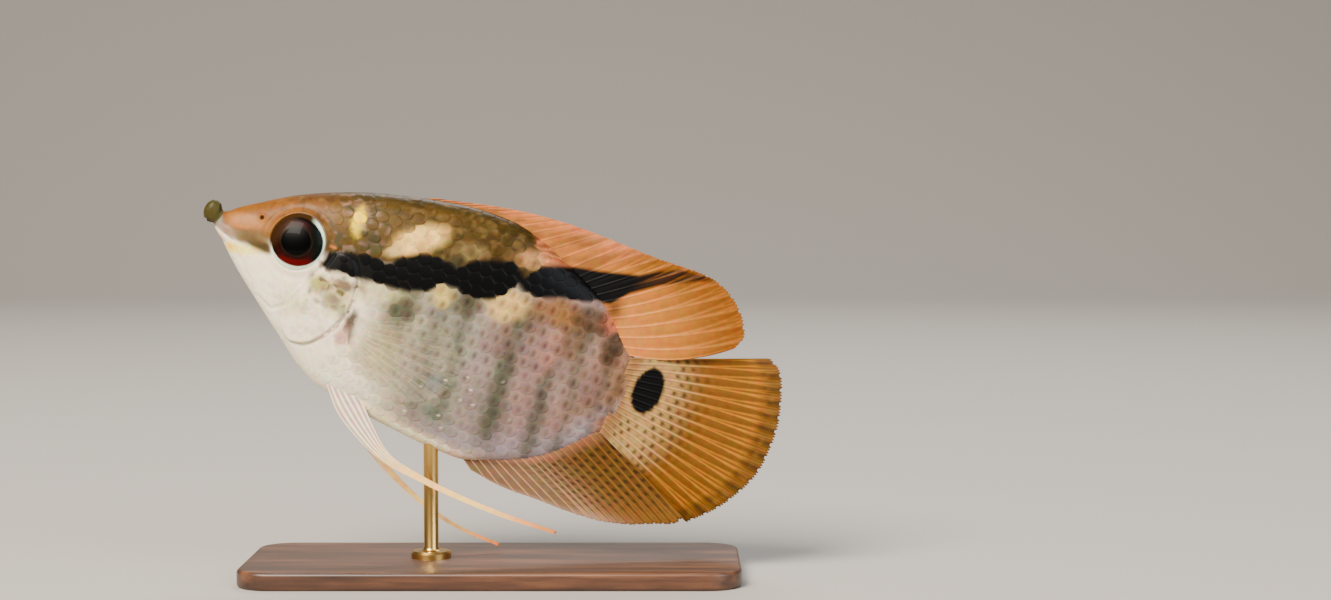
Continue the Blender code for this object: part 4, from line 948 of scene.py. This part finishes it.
def fan(roots, tips, bows, rays, rows, soft, notch, seed, columns=12, ray_width=0.00014):
    """A fan of rays on a grid: root + v (tip - root) + 4 v (1 - v) bow, frayed between the ray tips.

    roots, tips and bows are functions of the share across. Returns middle points, ray nearness, share across
    and v.
    """
    random = np.random.default_rng(seed)
    u = np.linspace(0, 1, (rays - 1) * columns + 1)
    v = np.linspace(0, 1, rows)[None, :]
    place = (u * (rays - 1))[:, None] * np.ones_like(v)
    r, t, w = roots(u)[:, None], tips(u)[:, None], bows(u)[:, None]
    rough = r + (t - r) * v[..., None]
    spacing = np.linalg.norm(np.gradient(rough, axis=0), axis=-1) * columns
    softness = soft(u)[:, None] * np.ones_like(v)
    near, nearest = ray_pattern(place, v, spacing, softness, ray_width)
    jag = random.random(rays)[nearest[:, -1].astype(int)] * 0.5
    reach = 1 - notch * (1 - near[:, -1]) - notch * jag * 0.6
    vv = (v * reach[:, None])[..., None]
    middle = r + (t - r) * vv + 4 * vv * (1 - vv) * w
    return middle, near, u[:, None] * np.ones_like(v), vv[..., 0]


def side_points(shares, side=0.0):
    """Places in metres in the fish's axes from shares in side view, at a distance to the side."""
    shares = np.asarray(shares) * STANDARD_LENGTH
    return np.stack([shares[:, 0], np.zeros(len(shares)) + side, shares[:, 1]], axis=-1)


def within(span, share):
    """The value at a share of the way from a span's start to its end."""
    return span[0] + (span[1] - span[0]) * share


def two_part(u, first, first_edge):
    """Shares of the edge when the first part of the rays takes a share of its own."""
    return np.interp(u, (0, first, 1), (0, first_edge, 1))


def fin_half_thickness(near, v, root, membrane, ridge):
    """Half the fin's thickness: a fleshy root thins by a bell in v to the membrane, and rays stand proud."""
    skin = membrane / 2 + (root - membrane) / 2 * bump_at(v, 0, 0.16)
    return skin + ridge * near * (1 - 0.65 * v)


def dorsal_fin():
    """Folded pink-orange spines along the back, then a pointed, clear orange soft part with pale rays."""
    sizes = bpy.context.scene.flag_cichlid

    def roots(u):
        along = within(DORSAL_SPAN, two_part(u, DORSAL_SPINE_SHARE, DORSAL_SPINE_ROOT_SHARE))
        return side_points(np.stack([along, body_profile(along)[0] - 0.010], axis=1))

    def tips(u):
        shares = two_part(u, DORSAL_SPINE_SHARE, DORSAL_SPINE_EDGE_SHARE)
        points = side_points(smooth_path(DORSAL_EDGE, shares))
        points[:, 1] = 0.0010 * np.sin(u * 5)
        return points

    def bows(u):
        soft = np.clip((u - DORSAL_SPINE_SHARE) / (1 - DORSAL_SPINE_SHARE), 0, 1)[:, None]
        return side_points(soft * DORSAL_BOW)

    def soft(u):
        return (u > DORSAL_SPINE_SHARE - 0.02).astype(float)

    middle, near, u, v = fan(roots, tips, bows, DORSAL_RAYS, 56, soft, 0.022, 21)
    middle[..., 1] += 0.00008 * np.cos(2 * math.pi * u * (DORSAL_RAYS - 1)) * v
    along, up = middle[..., 0] / STANDARD_LENGTH, middle[..., 2] / STANDARD_LENGTH
    late = smoothstep(0.55, 0.66, u)
    spiny = mix(colour("#c9955a"), colour("#dca974"), near)
    streak = mottle(np.stack([u * 40, v * 3, 0 * v], axis=-1), 1.0, 5)
    spiny = mix(spiny, colour("#94703f"), 0.55 * smoothstep(0.40, 0.80, streak))
    spiny = mix(spiny, colour("#e0a982"), 0.4 * smoothstep(0.55, 0.95, v))
    membrane = mix(colour("#cd9c50"), colour("#aa7524"), smoothstep(0.35, 0.95, v))
    rayed = mix(colour("#e4bf86"), colour("#c99644"), smoothstep(0.25, 0.9, v))
    soft_part = mix(membrane, rayed, 0.9 * near)
    soft_part = mix(soft_part, colour("#dcab74"), 0.45 * smoothstep(0.45, 0.05, v))
    tone = mix(spiny, soft_part, late)
    thin = smoothstep(0.92, 1.00, along)
    dark = stripe_share(along, up) * (1 - thin * (0.08 + 0.35 * near))
    tone = mix(tone, colour("#6b4a28"), 0.8 * bump_at(np.hypot(along - 0.908, 0.7 * (up - 0.172)), 0, 0.020))
    tone = mix(tone, colour("#120f0c"), dark)
    half = fin_half_thickness(near, v, 0.0010, sizes.membrane, 0.00013)
    obj = fin_sheet("dorsal_fin_looks", middle, half, bpy.data.materials["orange_fin_membrane"], tone)
    return piece(obj, "fin_orange", "dorsal_fin")


def anal_fin():
    """Ridged pinkish-white rays with dark dots between, browner and spotted towards the rear point."""
    sizes = bpy.context.scene.flag_cichlid

    def roots(u):
        along = within(ANAL_SPAN, two_part(u, ANAL_SPINE_SHARE, ANAL_SPINE_ROOT_SHARE))
        return side_points(np.stack([along, body_profile(along)[1] + 0.010], axis=1))

    def tips(u):
        points = side_points(smooth_path(ANAL_EDGE, two_part(u, ANAL_SPINE_SHARE, ANAL_SPINE_EDGE_SHARE)))
        points[:, 1] = -0.0008 * np.sin(u * 4)
        return points

    middle, near, u, v = fan(roots, tips, lambda u: side_points(np.zeros((len(u), 2))), ANAL_RAYS, 48,
                             lambda u: (u > ANAL_SPINE_SHARE).astype(float), 0.022, 31)
    rear = smoothstep(0.35, 0.80, u)
    membrane = mix(colour("#a5896f"), colour("#8f6d36"), rear)
    rayed = mix(colour("#d8bea0"), colour("#b08449"), smoothstep(0.22, 0.70, u))
    tone = mix(membrane, rayed, near)
    between = np.cos(math.pi * u * (ANAL_RAYS - 1)) ** 2
    rows = 0.5 + 0.5 * np.sin(2 * math.pi * (v * 11 + 0.35 * np.round(u * (ANAL_RAYS - 1) - 0.5)))
    dots = smoothstep(0.55, 0.85, rows) * (1 - between) ** 1.5
    dots = dots * smoothstep(0.02, 0.10, v) * smoothstep(0.95, 0.6, v)
    tone = mix(tone, colour("#4c3417"), 0.85 * dots * smoothstep(0.22, 0.55, u))
    tone = mix(tone, colour("#cdb5a4"), 0.5 * smoothstep(0.80, 1.0, v) * (1 - rear))
    tone = mix(tone, colour("#cfa58a"), 0.6 * smoothstep(0.16, 0.02, v) * (1 - 0.4 * rear))
    half = fin_half_thickness(near, v, 0.0010, sizes.membrane, 0.00015)
    obj = fin_sheet("anal_fin_looks", middle, half, bpy.data.materials["orange_fin_membrane"], tone)
    return piece(obj, "fin_orange", "anal_fin")


def caudal_fin():
    """The rounded tail fin: pale and dotted at the root with a black spot, golden streaks beyond."""
    sizes = bpy.context.scene.flag_cichlid

    def roots(u):
        return side_points(np.stack([np.full(len(u), CAUDAL_ROOT_ALONG), within(CAUDAL_ROOT, u)], axis=1))

    def tips(u):
        return side_points(smooth_path(CAUDAL_EDGE, u), CAUDAL_SWAY)

    def bows(u):
        return side_points(np.zeros((len(u), 2)), -CAUDAL_SWAY / 4)

    middle, near, u, v = fan(roots, tips, bows, CAUDAL_RAYS, 64, lambda u: np.ones(len(u)), 0.020, 41,
                             columns=14)
    middle[..., 1] += 0.00007 * np.cos(2 * math.pi * u * (CAUDAL_RAYS - 1)) * v
    along, up = middle[..., 0] / STANDARD_LENGTH, middle[..., 2] / STANDARD_LENGTH
    membrane = mix(colour("#cfb685"), colour("#a67a3b"), smoothstep(0.20, 0.52, v))
    rayed = mix(colour("#d6bd8e"), colour("#d0a13a"), smoothstep(0.34, 0.60, v))
    tone = mix(membrane, rayed, near)
    place = u * (CAUDAL_RAYS - 1)
    between = 1 - bump_at(place - np.round(place), 0, 0.22)
    rows = 0.5 + 0.5 * np.sin(2 * math.pi * (v * 16 + 0.5 * np.floor(place)))
    dots = smoothstep(0.36, 0.80, rows) * between * smoothstep(0.05, 0.10, v) * smoothstep(0.64, 0.34, v)
    broken = smoothstep(0.20, 0.55, mottle(middle / MM, 1.1, 51))
    tone = mix(tone, colour("#4a3b22"), 0.92 * dots * broken)
    tone = mix(tone, colour("#977648"), 0.55 * smoothstep(0.84, 0.92, v))
    tone = mix(tone, colour("#5f4526"), 0.55 * smoothstep(0.84, 0.90, v) * between * broken)
    tone = mix(tone, colour("#b38a63"), 0.8 * smoothstep(0.14, 0.04, v))
    # Painted shadow: the tail's lowest rays are darkened where the anal fin overlaps them.
    tone = mix(tone, colour("#5a4020"), 0.6 * smoothstep(0.965, 1.0, u) * smoothstep(0.1, 0.3, v))
    spot_along, spot_up, length, tall = TAIL_SPOT
    cosine, sine = math.cos(TAIL_SPOT_LEAN), math.sin(TAIL_SPOT_LEAN)
    ahead = (along - spot_along) * cosine + (up - spot_up) * sine
    above = (up - spot_up) * cosine - (along - spot_along) * sine
    spot = np.hypot(ahead / length, above / tall)
    tone = mix(tone, colour("#cdb083"), 0.8 * bump_at(spot, 1.22, 0.16))
    tone = mix(tone, colour("#090909"), smoothstep(1.08, 0.94, spot))
    half = fin_half_thickness(near, v, 0.0024, sizes.membrane, 0.00014)
    obj = fin_sheet("caudal_fin_looks", middle, half, bpy.data.materials["orange_fin_membrane"], tone)
    return piece(obj, "fin_orange", "caudal_fin")


def pectoral_fin(name, sign):
    """A nearly clear fan behind the gill cover, held a little off the flank, with faint pale rays."""
    sizes = bpy.context.scene.flag_cichlid
    top, bottom = np.array(PECTORAL_ROOT[0]), np.array(PECTORAL_ROOT[1])

    def roots(u):
        outline = top + (bottom - top) * u[:, None]
        points = side_points(outline)
        points[:, 1] = sign * (body_side(outline[:, 0], outline[:, 1]) - 0.0006)
        return points

    def tips(u):
        points = side_points(smooth_path(PECTORAL_EDGE, u))
        points[:, 1] = roots(u)[:, 1] + sign * (PECTORAL_SPREAD + 0.0006)
        return points

    middle, near, u, v = fan(roots, tips, lambda u: side_points(np.zeros((len(u), 2))), PECTORAL_RAYS, 44,
                             lambda u: np.ones(len(u)), 0.016, 51, columns=10, ray_width=0.00010)
    tone = mix(colour("#d6cfbe"), colour("#e2dac4"), near)
    tone = mix(tone, colour("#74524a"), 0.8 * smoothstep(0.14, 0.0, v))
    clear = np.clip(0.04 + 0.17 * near * (1 - 0.75 * v) + 0.5 * smoothstep(0.08, 0.0, v), 0, 1)
    half = fin_half_thickness(near, v, 0.0008, 0.8 * sizes.membrane, 0.00009)
    obj = fin_sheet(f"{name}_looks", middle, half, bpy.data.materials["clear_fin_membrane"], tone, clear)
    return piece(obj, "fin_clear", name)


def pelvic_fin(name, sign, stations):
    """A narrow cream fin whose rays run together into one long orange-tipped thread."""
    table = np.array(stations)
    table[:, :2] *= STANDARD_LENGTH
    rows, columns = 90, 12
    line = smooth_path(table, np.linspace(0, 1, rows))
    heading = np.gradient(line[:, :2], axis=0)
    heading /= np.linalg.norm(heading, axis=1)[:, None]
    across = np.stack([-heading[:, 1], heading[:, 0]], axis=1)
    u = np.linspace(0, 1, (PELVIC_RAYS - 1) * columns + 1)
    v = np.linspace(0, 1, rows)[None, :] * np.ones((len(u), 1))
    place = u[:, None] * (PELVIC_RAYS - 1)
    near = bump_at(place - np.round(place), 0, 0.24) * np.ones_like(v)
    offset = (u - 0.5)[:, None, None] * line[None, :, 3, None]
    flat = line[None, :, :2] + offset * across[None]
    fold = 0.00012 * np.cos(2 * math.pi * place) * (1 - v)
    side = sign * (PELVIC_ROOT_SIDE + line[None, :, 2]) + fold
    middle = np.stack([flat[..., 0], side, flat[..., 1]], axis=-1)
    tone = mix(colour("#d3c6bd"), colour("#f2eadc"), near)
    tone = mix(tone, colour("#f1dfb0"), smoothstep(0.22, 0.50, v))
    tone = mix(tone, colour("#e0a868"), 0.9 * smoothstep(0.70, 1.0, v))
    taper = np.clip(1.15 - v, 0.15, 1)
    half = 0.00016 + 0.00020 * np.clip(1 - 3 * v, 0, 1) + 0.00013 * near * taper
    obj = fin_sheet(f"{name}_looks", middle, half, bpy.data.materials["cream_fin_ray"], tone)
    return piece(obj, "fin_cream", name)


def eyeball(name, sign):
    """One eye: an ellipsoid of radius 5.2 mm and depth 2.5 mm, square to the head, with a domed black pupil.

    Its colour goes by distance from its axis: black pupil, dark red iris, brighter below, and a dark rim,
    with a faint painted highlight ring round the pupil.
    """
    radius, depth, sink = 5.2 * MM, 2.5 * MM, 1.3 * MM
    place, axis = on_body(*EYE_PLACE, sign)
    forward = np.cross((0, 0, 1), axis)
    forward /= np.linalg.norm(forward)
    upward = np.cross(axis, forward)
    rings, around = 72, 96
    lean = np.linspace(0, math.pi, rings + 1)[1:-1, None]
    turn = (np.arange(around) * 2 * math.pi / around)[None, :]
    wide = radius * np.sin(lean) * np.ones_like(turn)
    pupil, iris = 2.50 * MM, 4.45 * MM
    deep = depth * np.cos(lean) - 0.03 * MM * bump_at(wide / MM, 2.62, 0.22) * (lean < 1.5)
    points = (place - axis * sink + deep[..., None] * axis + (wide * np.cos(turn))[..., None] * forward
              + (wide * np.sin(turn))[..., None] * upward)
    ahead = ((points - place)[..., 0]) / MM
    rise = ((points - place)[..., 2]) / MM
    wide = wide * (1 + 0.10 * (np.sin(turn) ** 2))
    outer = smoothstep(pupil, pupil + 0.12 * MM, wide)
    iris_tone = mix(colour("#2c1412"), colour("#57201a"), smoothstep(2.5, 3.4, wide / MM))
    iris_tone = mix(iris_tone, colour("#1c0d0b"), smoothstep(3.8, 4.2, wide / MM))
    grain = mottle(np.stack([turn * 9 + 0 * lean, wide / MM * 1.2, 0 * turn + 0 * lean], axis=-1), 1.0, 12)
    iris_tone = iris_tone * (0.75 + 0.5 * grain)[..., None]
    below = smoothstep(2.2, 3.4, 0.25 * ahead - rise) * smoothstep(3.1, 3.6, wide / MM)
    iris_tone = mix(iris_tone, colour("#8f1620"), 0.9 * below)
    iris_tone = mix(iris_tone, colour("#0d342c"), 0.85 * smoothstep(1.8, 3.6, ahead + 0.45 * rise))
    iris_tone = mix(iris_tone, colour("#6b4c36"), 0.8 * smoothstep(1.9, 3.6, 0.3 * rise - ahead))
    tone = mix(np.broadcast_to(colour("#050505"), points.shape), iris_tone, outer)
    # Painted highlight: a faint lighter ring just outside the pupil, as of light on the cornea.
    tone = mix(tone, colour("#6e5a4a"), 0.4 * bump_at(wide / MM, 2.75, 0.10))
    pale = np.clip(smoothstep(1.5, 3.5, ahead + 0.2 * rise) + smoothstep(1.6, 3.2, -rise), 0, 1)
    margin = mix(np.broadcast_to(colour("#6b4c2a"), points.shape), colour("#e6ebe2"), pale)
    tone = mix(tone, margin, smoothstep(iris, iris + 0.15 * MM, wide))
    front, back = place + axis * (depth - sink), place - axis * (depth + sink)
    flat = np.vstack([points.reshape(-1, 3), front, back])
    count = (rings - 1) * around
    faces = ring_quads(rings - 1, around).tolist()
    faces += [[count, i, (i + 1) % around] for i in range(around)]
    faces += [[count + 1, count - around + (i + 1) % around, count - around + i] for i in range(around)]
    tones = np.vstack([tone.reshape(-1, 3), colour("#050505"), colour("#e6ebe2")])
    obj = mesh_object(f"{name}_looks", to_row(flat), faces, bpy.data.materials["wet_fish_eye"], tones)
    flip_if_inside_out(obj)
    return piece(obj, "eye", name)


def fish_eye():
    """A living fish eye: dark iris and pupil under a clear wet cornea, which gives one sharp bright glint."""
    material, tree, shader = new_material("wet_fish_eye")
    tone = add_node(tree, "ShaderNodeVertexColor", layer_name="tone")
    tree.links.new(tone.outputs["Color"], shader.inputs["Base Color"])
    shader.inputs["Roughness"].default_value = 0.35
    shader.inputs["Specular IOR Level"].default_value = 0.05
    shader.inputs["Coat Weight"].default_value = 0.035
    shader.inputs["Coat Roughness"].default_value = 0.03
    return material


def slab(name, low, high, corner, ease, material):
    """A flat plate: a rounded rectangle carried round an eased edge profile, closed above and below."""
    steps = np.linspace(0, math.pi / 2, 9)
    centre_x, centre_y = (low[0] + high[0]) / 2, (low[1] + high[1]) / 2
    half_x, half_y = (high[0] - low[0]) / 2, (high[1] - low[1]) / 2
    quarters = ((1, 1, 0), (-1, 1, 1), (-1, -1, 2), (1, -1, 3))
    angles = np.concatenate([steps + q * math.pi / 2 for _, _, q in quarters])
    signs = np.repeat([(x, y) for x, y, _ in quarters], len(steps), axis=0)
    arc = np.linspace(0, math.pi / 2, 7)
    drawn_in, lifted = ease * (1 - np.sin(arc)), ease * (1 - np.cos(arc))
    middle = [half_y * 0.9, ease * 3]
    inset = np.concatenate([middle, drawn_in, drawn_in[::-1], middle[::-1]])
    z = np.concatenate([[low[2]] * 2, low[2] + lifted, (high[2] - lifted)[::-1], [high[2]] * 2])
    radius = np.maximum(corner - inset, 0.0002)[:, None]
    x = centre_x + signs[:, 0] * (half_x - np.maximum(corner, inset[:, None])) + radius * np.cos(angles)
    y = centre_y + signs[:, 1] * (half_y - np.maximum(corner, inset[:, None])) + radius * np.sin(angles)
    points = np.stack([x, y, np.broadcast_to(z[:, None], x.shape)], axis=-1)
    rings, around = x.shape
    faces = ring_quads(rings, around).tolist()
    faces += [list(range(around)), list(range((rings - 1) * around, rings * around))[::-1]]
    obj = mesh_object(name, points.reshape(-1, 3), faces, material)
    obj.data.set_sharp_from_angle(angle=math.radians(35))
    flip_if_inside_out(obj)
    return obj


def turned(name, profile, centre, material, sides=64):
    """A turned piece: a profile of radius and height carried round an upright axis, closed at both ends."""
    profile = np.array(profile)
    turn = (np.arange(sides) * 2 * math.pi / sides)[None, :]
    x = centre[0] + profile[:, :1] * np.cos(turn)
    y = centre[1] + profile[:, :1] * np.sin(turn)
    points = np.stack([x, y, np.broadcast_to(profile[:, 1:], x.shape)], axis=-1)
    faces = ring_quads(len(profile), sides).tolist()
    count = len(profile) * sides
    faces += [list(range(sides)), list(range(count - sides, count))[::-1]]
    obj = mesh_object(name, points.reshape(-1, 3), faces, material)
    obj.data.set_sharp_from_angle(angle=math.radians(35))
    flip_if_inside_out(obj)
    return obj


def walnut():
    """Oiled walnut, planed and sanded: dark brown with fine straight grain along the plate and open pores."""
    material, tree, shader = new_material("oiled_walnut")
    place = add_node(tree, "ShaderNodeTexCoord").outputs["Object"]
    stretched = add_node(tree, "ShaderNodeMapping", [("Vector", place)], Scale=(0.08, 1.0, 1.0))
    along_grain = [("Vector", stretched.outputs["Vector"])]
    grain = add_node(tree, "ShaderNodeTexNoise", along_grain, Scale=520.0, Detail=5.0, Roughness=0.6)
    figure = add_node(tree, "ShaderNodeTexNoise", along_grain, Scale=90.0, Detail=2.0)
    faint = add_node(tree, "ShaderNodeMath", [(0, figure.outputs["Fac"])], operation="MULTIPLY")
    faint.inputs[1].default_value = 0.45
    both = add_node(tree, "ShaderNodeMath", [(0, grain.outputs["Fac"]), (1, faint.outputs["Value"])],
                    operation="ADD")
    ramp = add_node(tree, "ShaderNodeValToRGB", [("Fac", both.outputs["Value"])])
    ramp.color_ramp.elements[0].position = 0.52
    ramp.color_ramp.elements[0].color = (*linear("#2c1a10"), 1)
    ramp.color_ramp.elements[1].position = 0.92
    ramp.color_ramp.elements[1].color = (*linear("#6b442a"), 1)
    halfway = ramp.color_ramp.elements.new(0.73)
    halfway.color = (*linear("#4a2d1c"), 1)
    tree.links.new(ramp.outputs["Color"], shader.inputs["Base Color"])
    height = grain.outputs["Fac"]
    bump = add_node(tree, "ShaderNodeBump", [("Height", height)], Strength=0.25, Distance=0.00008)
    tree.links.new(bump.outputs["Normal"], shader.inputs["Normal"])
    shader.inputs["Roughness"].default_value = 0.42
    shader.inputs["Coat Weight"].default_value = 0.15
    shader.inputs["Coat Roughness"].default_value = 0.3
    return material


def brass():
    """Turned and lacquered brass rod: warm yellow metal with faint rings left by the lathe."""
    material, tree, shader = new_material("turned_brass")
    shader.inputs["Base Color"].default_value = (*linear("#c9a35c"), 1)
    shader.inputs["Metallic"].default_value = 1.0
    shader.inputs["Roughness"].default_value = 0.28
    place = add_node(tree, "ShaderNodeTexCoord").outputs["Object"]
    squeezed = add_node(tree, "ShaderNodeMapping", [("Vector", place)], Scale=(0.02, 0.02, 1.0))
    rings = [("Vector", squeezed.outputs["Vector"])]
    noise = add_node(tree, "ShaderNodeTexNoise", rings, Scale=9000.0, Detail=2.0)
    height = noise.outputs["Fac"]
    bump = add_node(tree, "ShaderNodeBump", [("Height", height)], Strength=0.15, Distance=0.00003)
    tree.links.new(bump.outputs["Normal"], shader.inputs["Normal"])
    return material


def studio_paper():
    """Matt pale backdrop paper: even and slightly warm, so that only the fish draws the eye."""
    material, tree, shader = new_material("studio_paper")
    shader.inputs["Base Color"].default_value = (*linear("#a5a099"), 1)
    shader.inputs["Roughness"].default_value = 0.9
    return material


class FISH_OT_materials(bpy.types.Operator):
    """Makes the fish's materials."""
    bl_idname = "fish.materials"
    bl_label = "Make materials"

    def execute(self, context):
        scale_plate()
        fin_membrane("orange_fin_membrane", 0.50, False)
        fin_membrane("clear_fin_membrane", 0.35, True)
        fin_membrane("cream_fin_ray", 0.50, False)
        fish_eye()
        return {"FINISHED"}


class FISH_OT_skin(bpy.types.Operator):
    """Makes the one skin that covers head, trunk and tail stem."""
    bl_idname = "fish.skin"
    bl_label = "Make skin"

    def execute(self, context):
        build_skin()
        return {"FINISHED"}


class FISH_OT_scales(bpy.types.Operator):
    """Makes the overlapping scales of flanks, cheeks and gill covers."""
    bl_idname = "fish.scales"
    bl_label = "Make scales"

    def execute(self, context):
        sizes = context.scene.flag_cichlid
        surface = SurfaceMap(sizes.scale_depth)
        for sign, name in ((-1, "left"), (1, "right")):
            flank = scale_coat(f"flank_scales_{name}", surface, sizes.scale_spacing, sizes.row_spacing,
                               sizes.scale_rise, trunk_covered, sign, FLANK_SEED + sign, 1.0)
            piece(flank, "skin_flank")
            cheek = scale_coat(f"cheek_scales_{name}", surface, sizes.cheek_spacing,
                               0.9 * sizes.cheek_spacing, 0.5 * sizes.scale_rise, cheek_covered, sign,
                               CHEEK_SEED + sign, 0.25)
            piece(cheek, "skin_pale")
        return {"FINISHED"}


class FISH_OT_fins(bpy.types.Operator):
    """Makes the seven fins with their rays."""
    bl_idname = "fish.fins"
    bl_label = "Make fins"

    def execute(self, context):
        dorsal_fin()
        anal_fin()
        caudal_fin()
        for sign, side, stations in ((-1, "left", PELVIC_LEFT), (1, "right", PELVIC_RIGHT)):
            pectoral_fin(f"pectoral_fin_{side}", sign)
            pelvic_fin(f"pelvic_fin_{side}", sign, stations)
        return {"FINISHED"}


class FISH_OT_eyes(bpy.types.Operator):
    """Makes both eyes."""
    bl_idname = "fish.eyes"
    bl_label = "Make eyes"

    def execute(self, context):
        eyeball("eye_left", -1)
        eyeball("eye_right", 1)
        return {"FINISHED"}


class FISH_OT_stand(bpy.types.Operator):
    """Makes the walnut base and the brass rod in the solids' places."""
    bl_idname = "fish.stand"
    bl_label = "Make stand"

    def execute(self, context):
        low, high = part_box("stand_base")
        base = slab("stand_base_looks", low, high, STAND_CORNER, STAND_EASE, walnut())
        piece(base, "stand_wood", "stand_base")
        low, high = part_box("stand_rod")
        centre = ((low[0] + high[0]) / 2, 0.0)
        foot = (high[0] - low[0]) / 2
        rod, collar = ROD_RADIUS, COLLAR_HEIGHT
        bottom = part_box("stand_base")[1][2]
        profile = [(foot, bottom), (foot, bottom + 0.7 * collar), (foot - 0.0003, bottom + collar),
                   (rod + 0.0006, bottom + collar), (rod + 0.0002, bottom + collar + 0.0002),
                   (rod, bottom + collar + 0.0006), (rod, high[2] + 0.0004)]
        piece(turned("stand_rod_looks", profile, centre, brass()), "stand_brass", "stand_rod")
        return {"FINISHED"}


class FISH_OT_stage(bpy.types.Operator):
    """Makes the pale floor, the soft lights and the camera at the photograph's angle."""
    bl_idname = "fish.stage"
    bl_label = "Make stage"

    def execute(self, context):
        bend = np.linspace(0, math.pi / 2, 17)
        curve = BEND_START + BEND_RADIUS * np.sin(bend)
        depth = np.concatenate([[FLOOR_FRONT], curve, [BEND_START + BEND_RADIUS]])
        height = np.concatenate([[0.0], BEND_RADIUS * (1 - np.cos(bend)), [WALL_TOP]])
        across = np.array([-FLOOR_HALF_WIDTH, FLOOR_HALF_WIDTH])
        x, y = np.meshgrid(across, depth)
        points = np.stack([x, y, np.broadcast_to(height[:, None], x.shape)], axis=-1).reshape(-1, 3)
        faces = [[2 * i, 2 * i + 1, 2 * i + 3, 2 * i + 2] for i in range(len(depth) - 1)]
        mesh_object("floor", points, faces, studio_paper())
        for light in LAMPS:
            lamp(*light)
        world = bpy.data.worlds.new("studio")
        world.use_nodes = True
        world.node_tree.nodes["Background"].inputs["Color"].default_value = (*linear("#e8e6e2"), 1)
        world.node_tree.nodes["Background"].inputs["Strength"].default_value = 0.15
        context.scene.world = world
        camera(context.scene)
        return {"FINISHED"}


def lamp(name, place, size, power, tint):
    """A square soft light aimed at the fish, power in watts."""
    data = bpy.data.lights.new(name, "AREA")
    data.size = size
    data.energy = power
    data.color = linear(tint)
    obj = bpy.data.objects.new(name, data)
    obj.location = place
    obj.rotation_euler = (Vector(LAMP_TARGET) - Vector(place)).to_track_quat("-Z", "Y").to_euler()
    bpy.context.scene.collection.objects.link(obj)


def camera(scene):
    """The camera: level with the fish's left side and 3 degrees above it, aimed at the frame's middle."""
    aim_x, aim_z, distance, tilt = 0.0293, 0.0470, 0.45, math.radians(3)
    data = bpy.data.cameras.new("camera")
    data.lens = LENS
    data.sensor_width = SENSOR_WIDTH
    data.clip_start = 0.01
    obj = bpy.data.objects.new("camera", data)
    obj.location = (aim_x, -distance * math.cos(tilt), aim_z + distance * math.sin(tilt))
    obj.rotation_euler = (math.pi / 2 - tilt, 0, 0)
    scene.collection.objects.link(obj)
    scene.camera = obj


class FISH_PT_panel(bpy.types.Panel):
    """Lists the steps and the sizes."""
    bl_label = "Flag cichlid"
    bl_idname = "FISH_PT_panel"
    bl_space_type = "VIEW_3D"
    bl_region_type = "UI"
    bl_category = "Fish"

    def draw(self, context):
        for name in FishSizes.__annotations__:
            self.layout.prop(context.scene.flag_cichlid, name)
        for step in STEPS:
            self.layout.operator(step.bl_idname)


STEPS = (
    FISH_OT_materials, FISH_OT_skin, FISH_OT_scales, FISH_OT_fins, FISH_OT_eyes, FISH_OT_stand,
    FISH_OT_stage,
)
CLASSES = (FishSizes, *STEPS, FISH_PT_panel)


def register():
    for cls in CLASSES:
        bpy.utils.register_class(cls)
    bpy.types.Scene.flag_cichlid = bpy.props.PointerProperty(type=FishSizes)


def unregister():
    del bpy.types.Scene.flag_cichlid
    for cls in reversed(CLASSES):
        bpy.utils.unregister_class(cls)


def main():
    register()
    bpy.ops.fish.materials()
    bpy.ops.fish.skin()
    bpy.ops.fish.scales()
    bpy.ops.fish.fins()
    bpy.ops.fish.eyes()
    bpy.ops.fish.stand()
    bpy.ops.fish.stage()


if __name__ == "__main__":
    main()
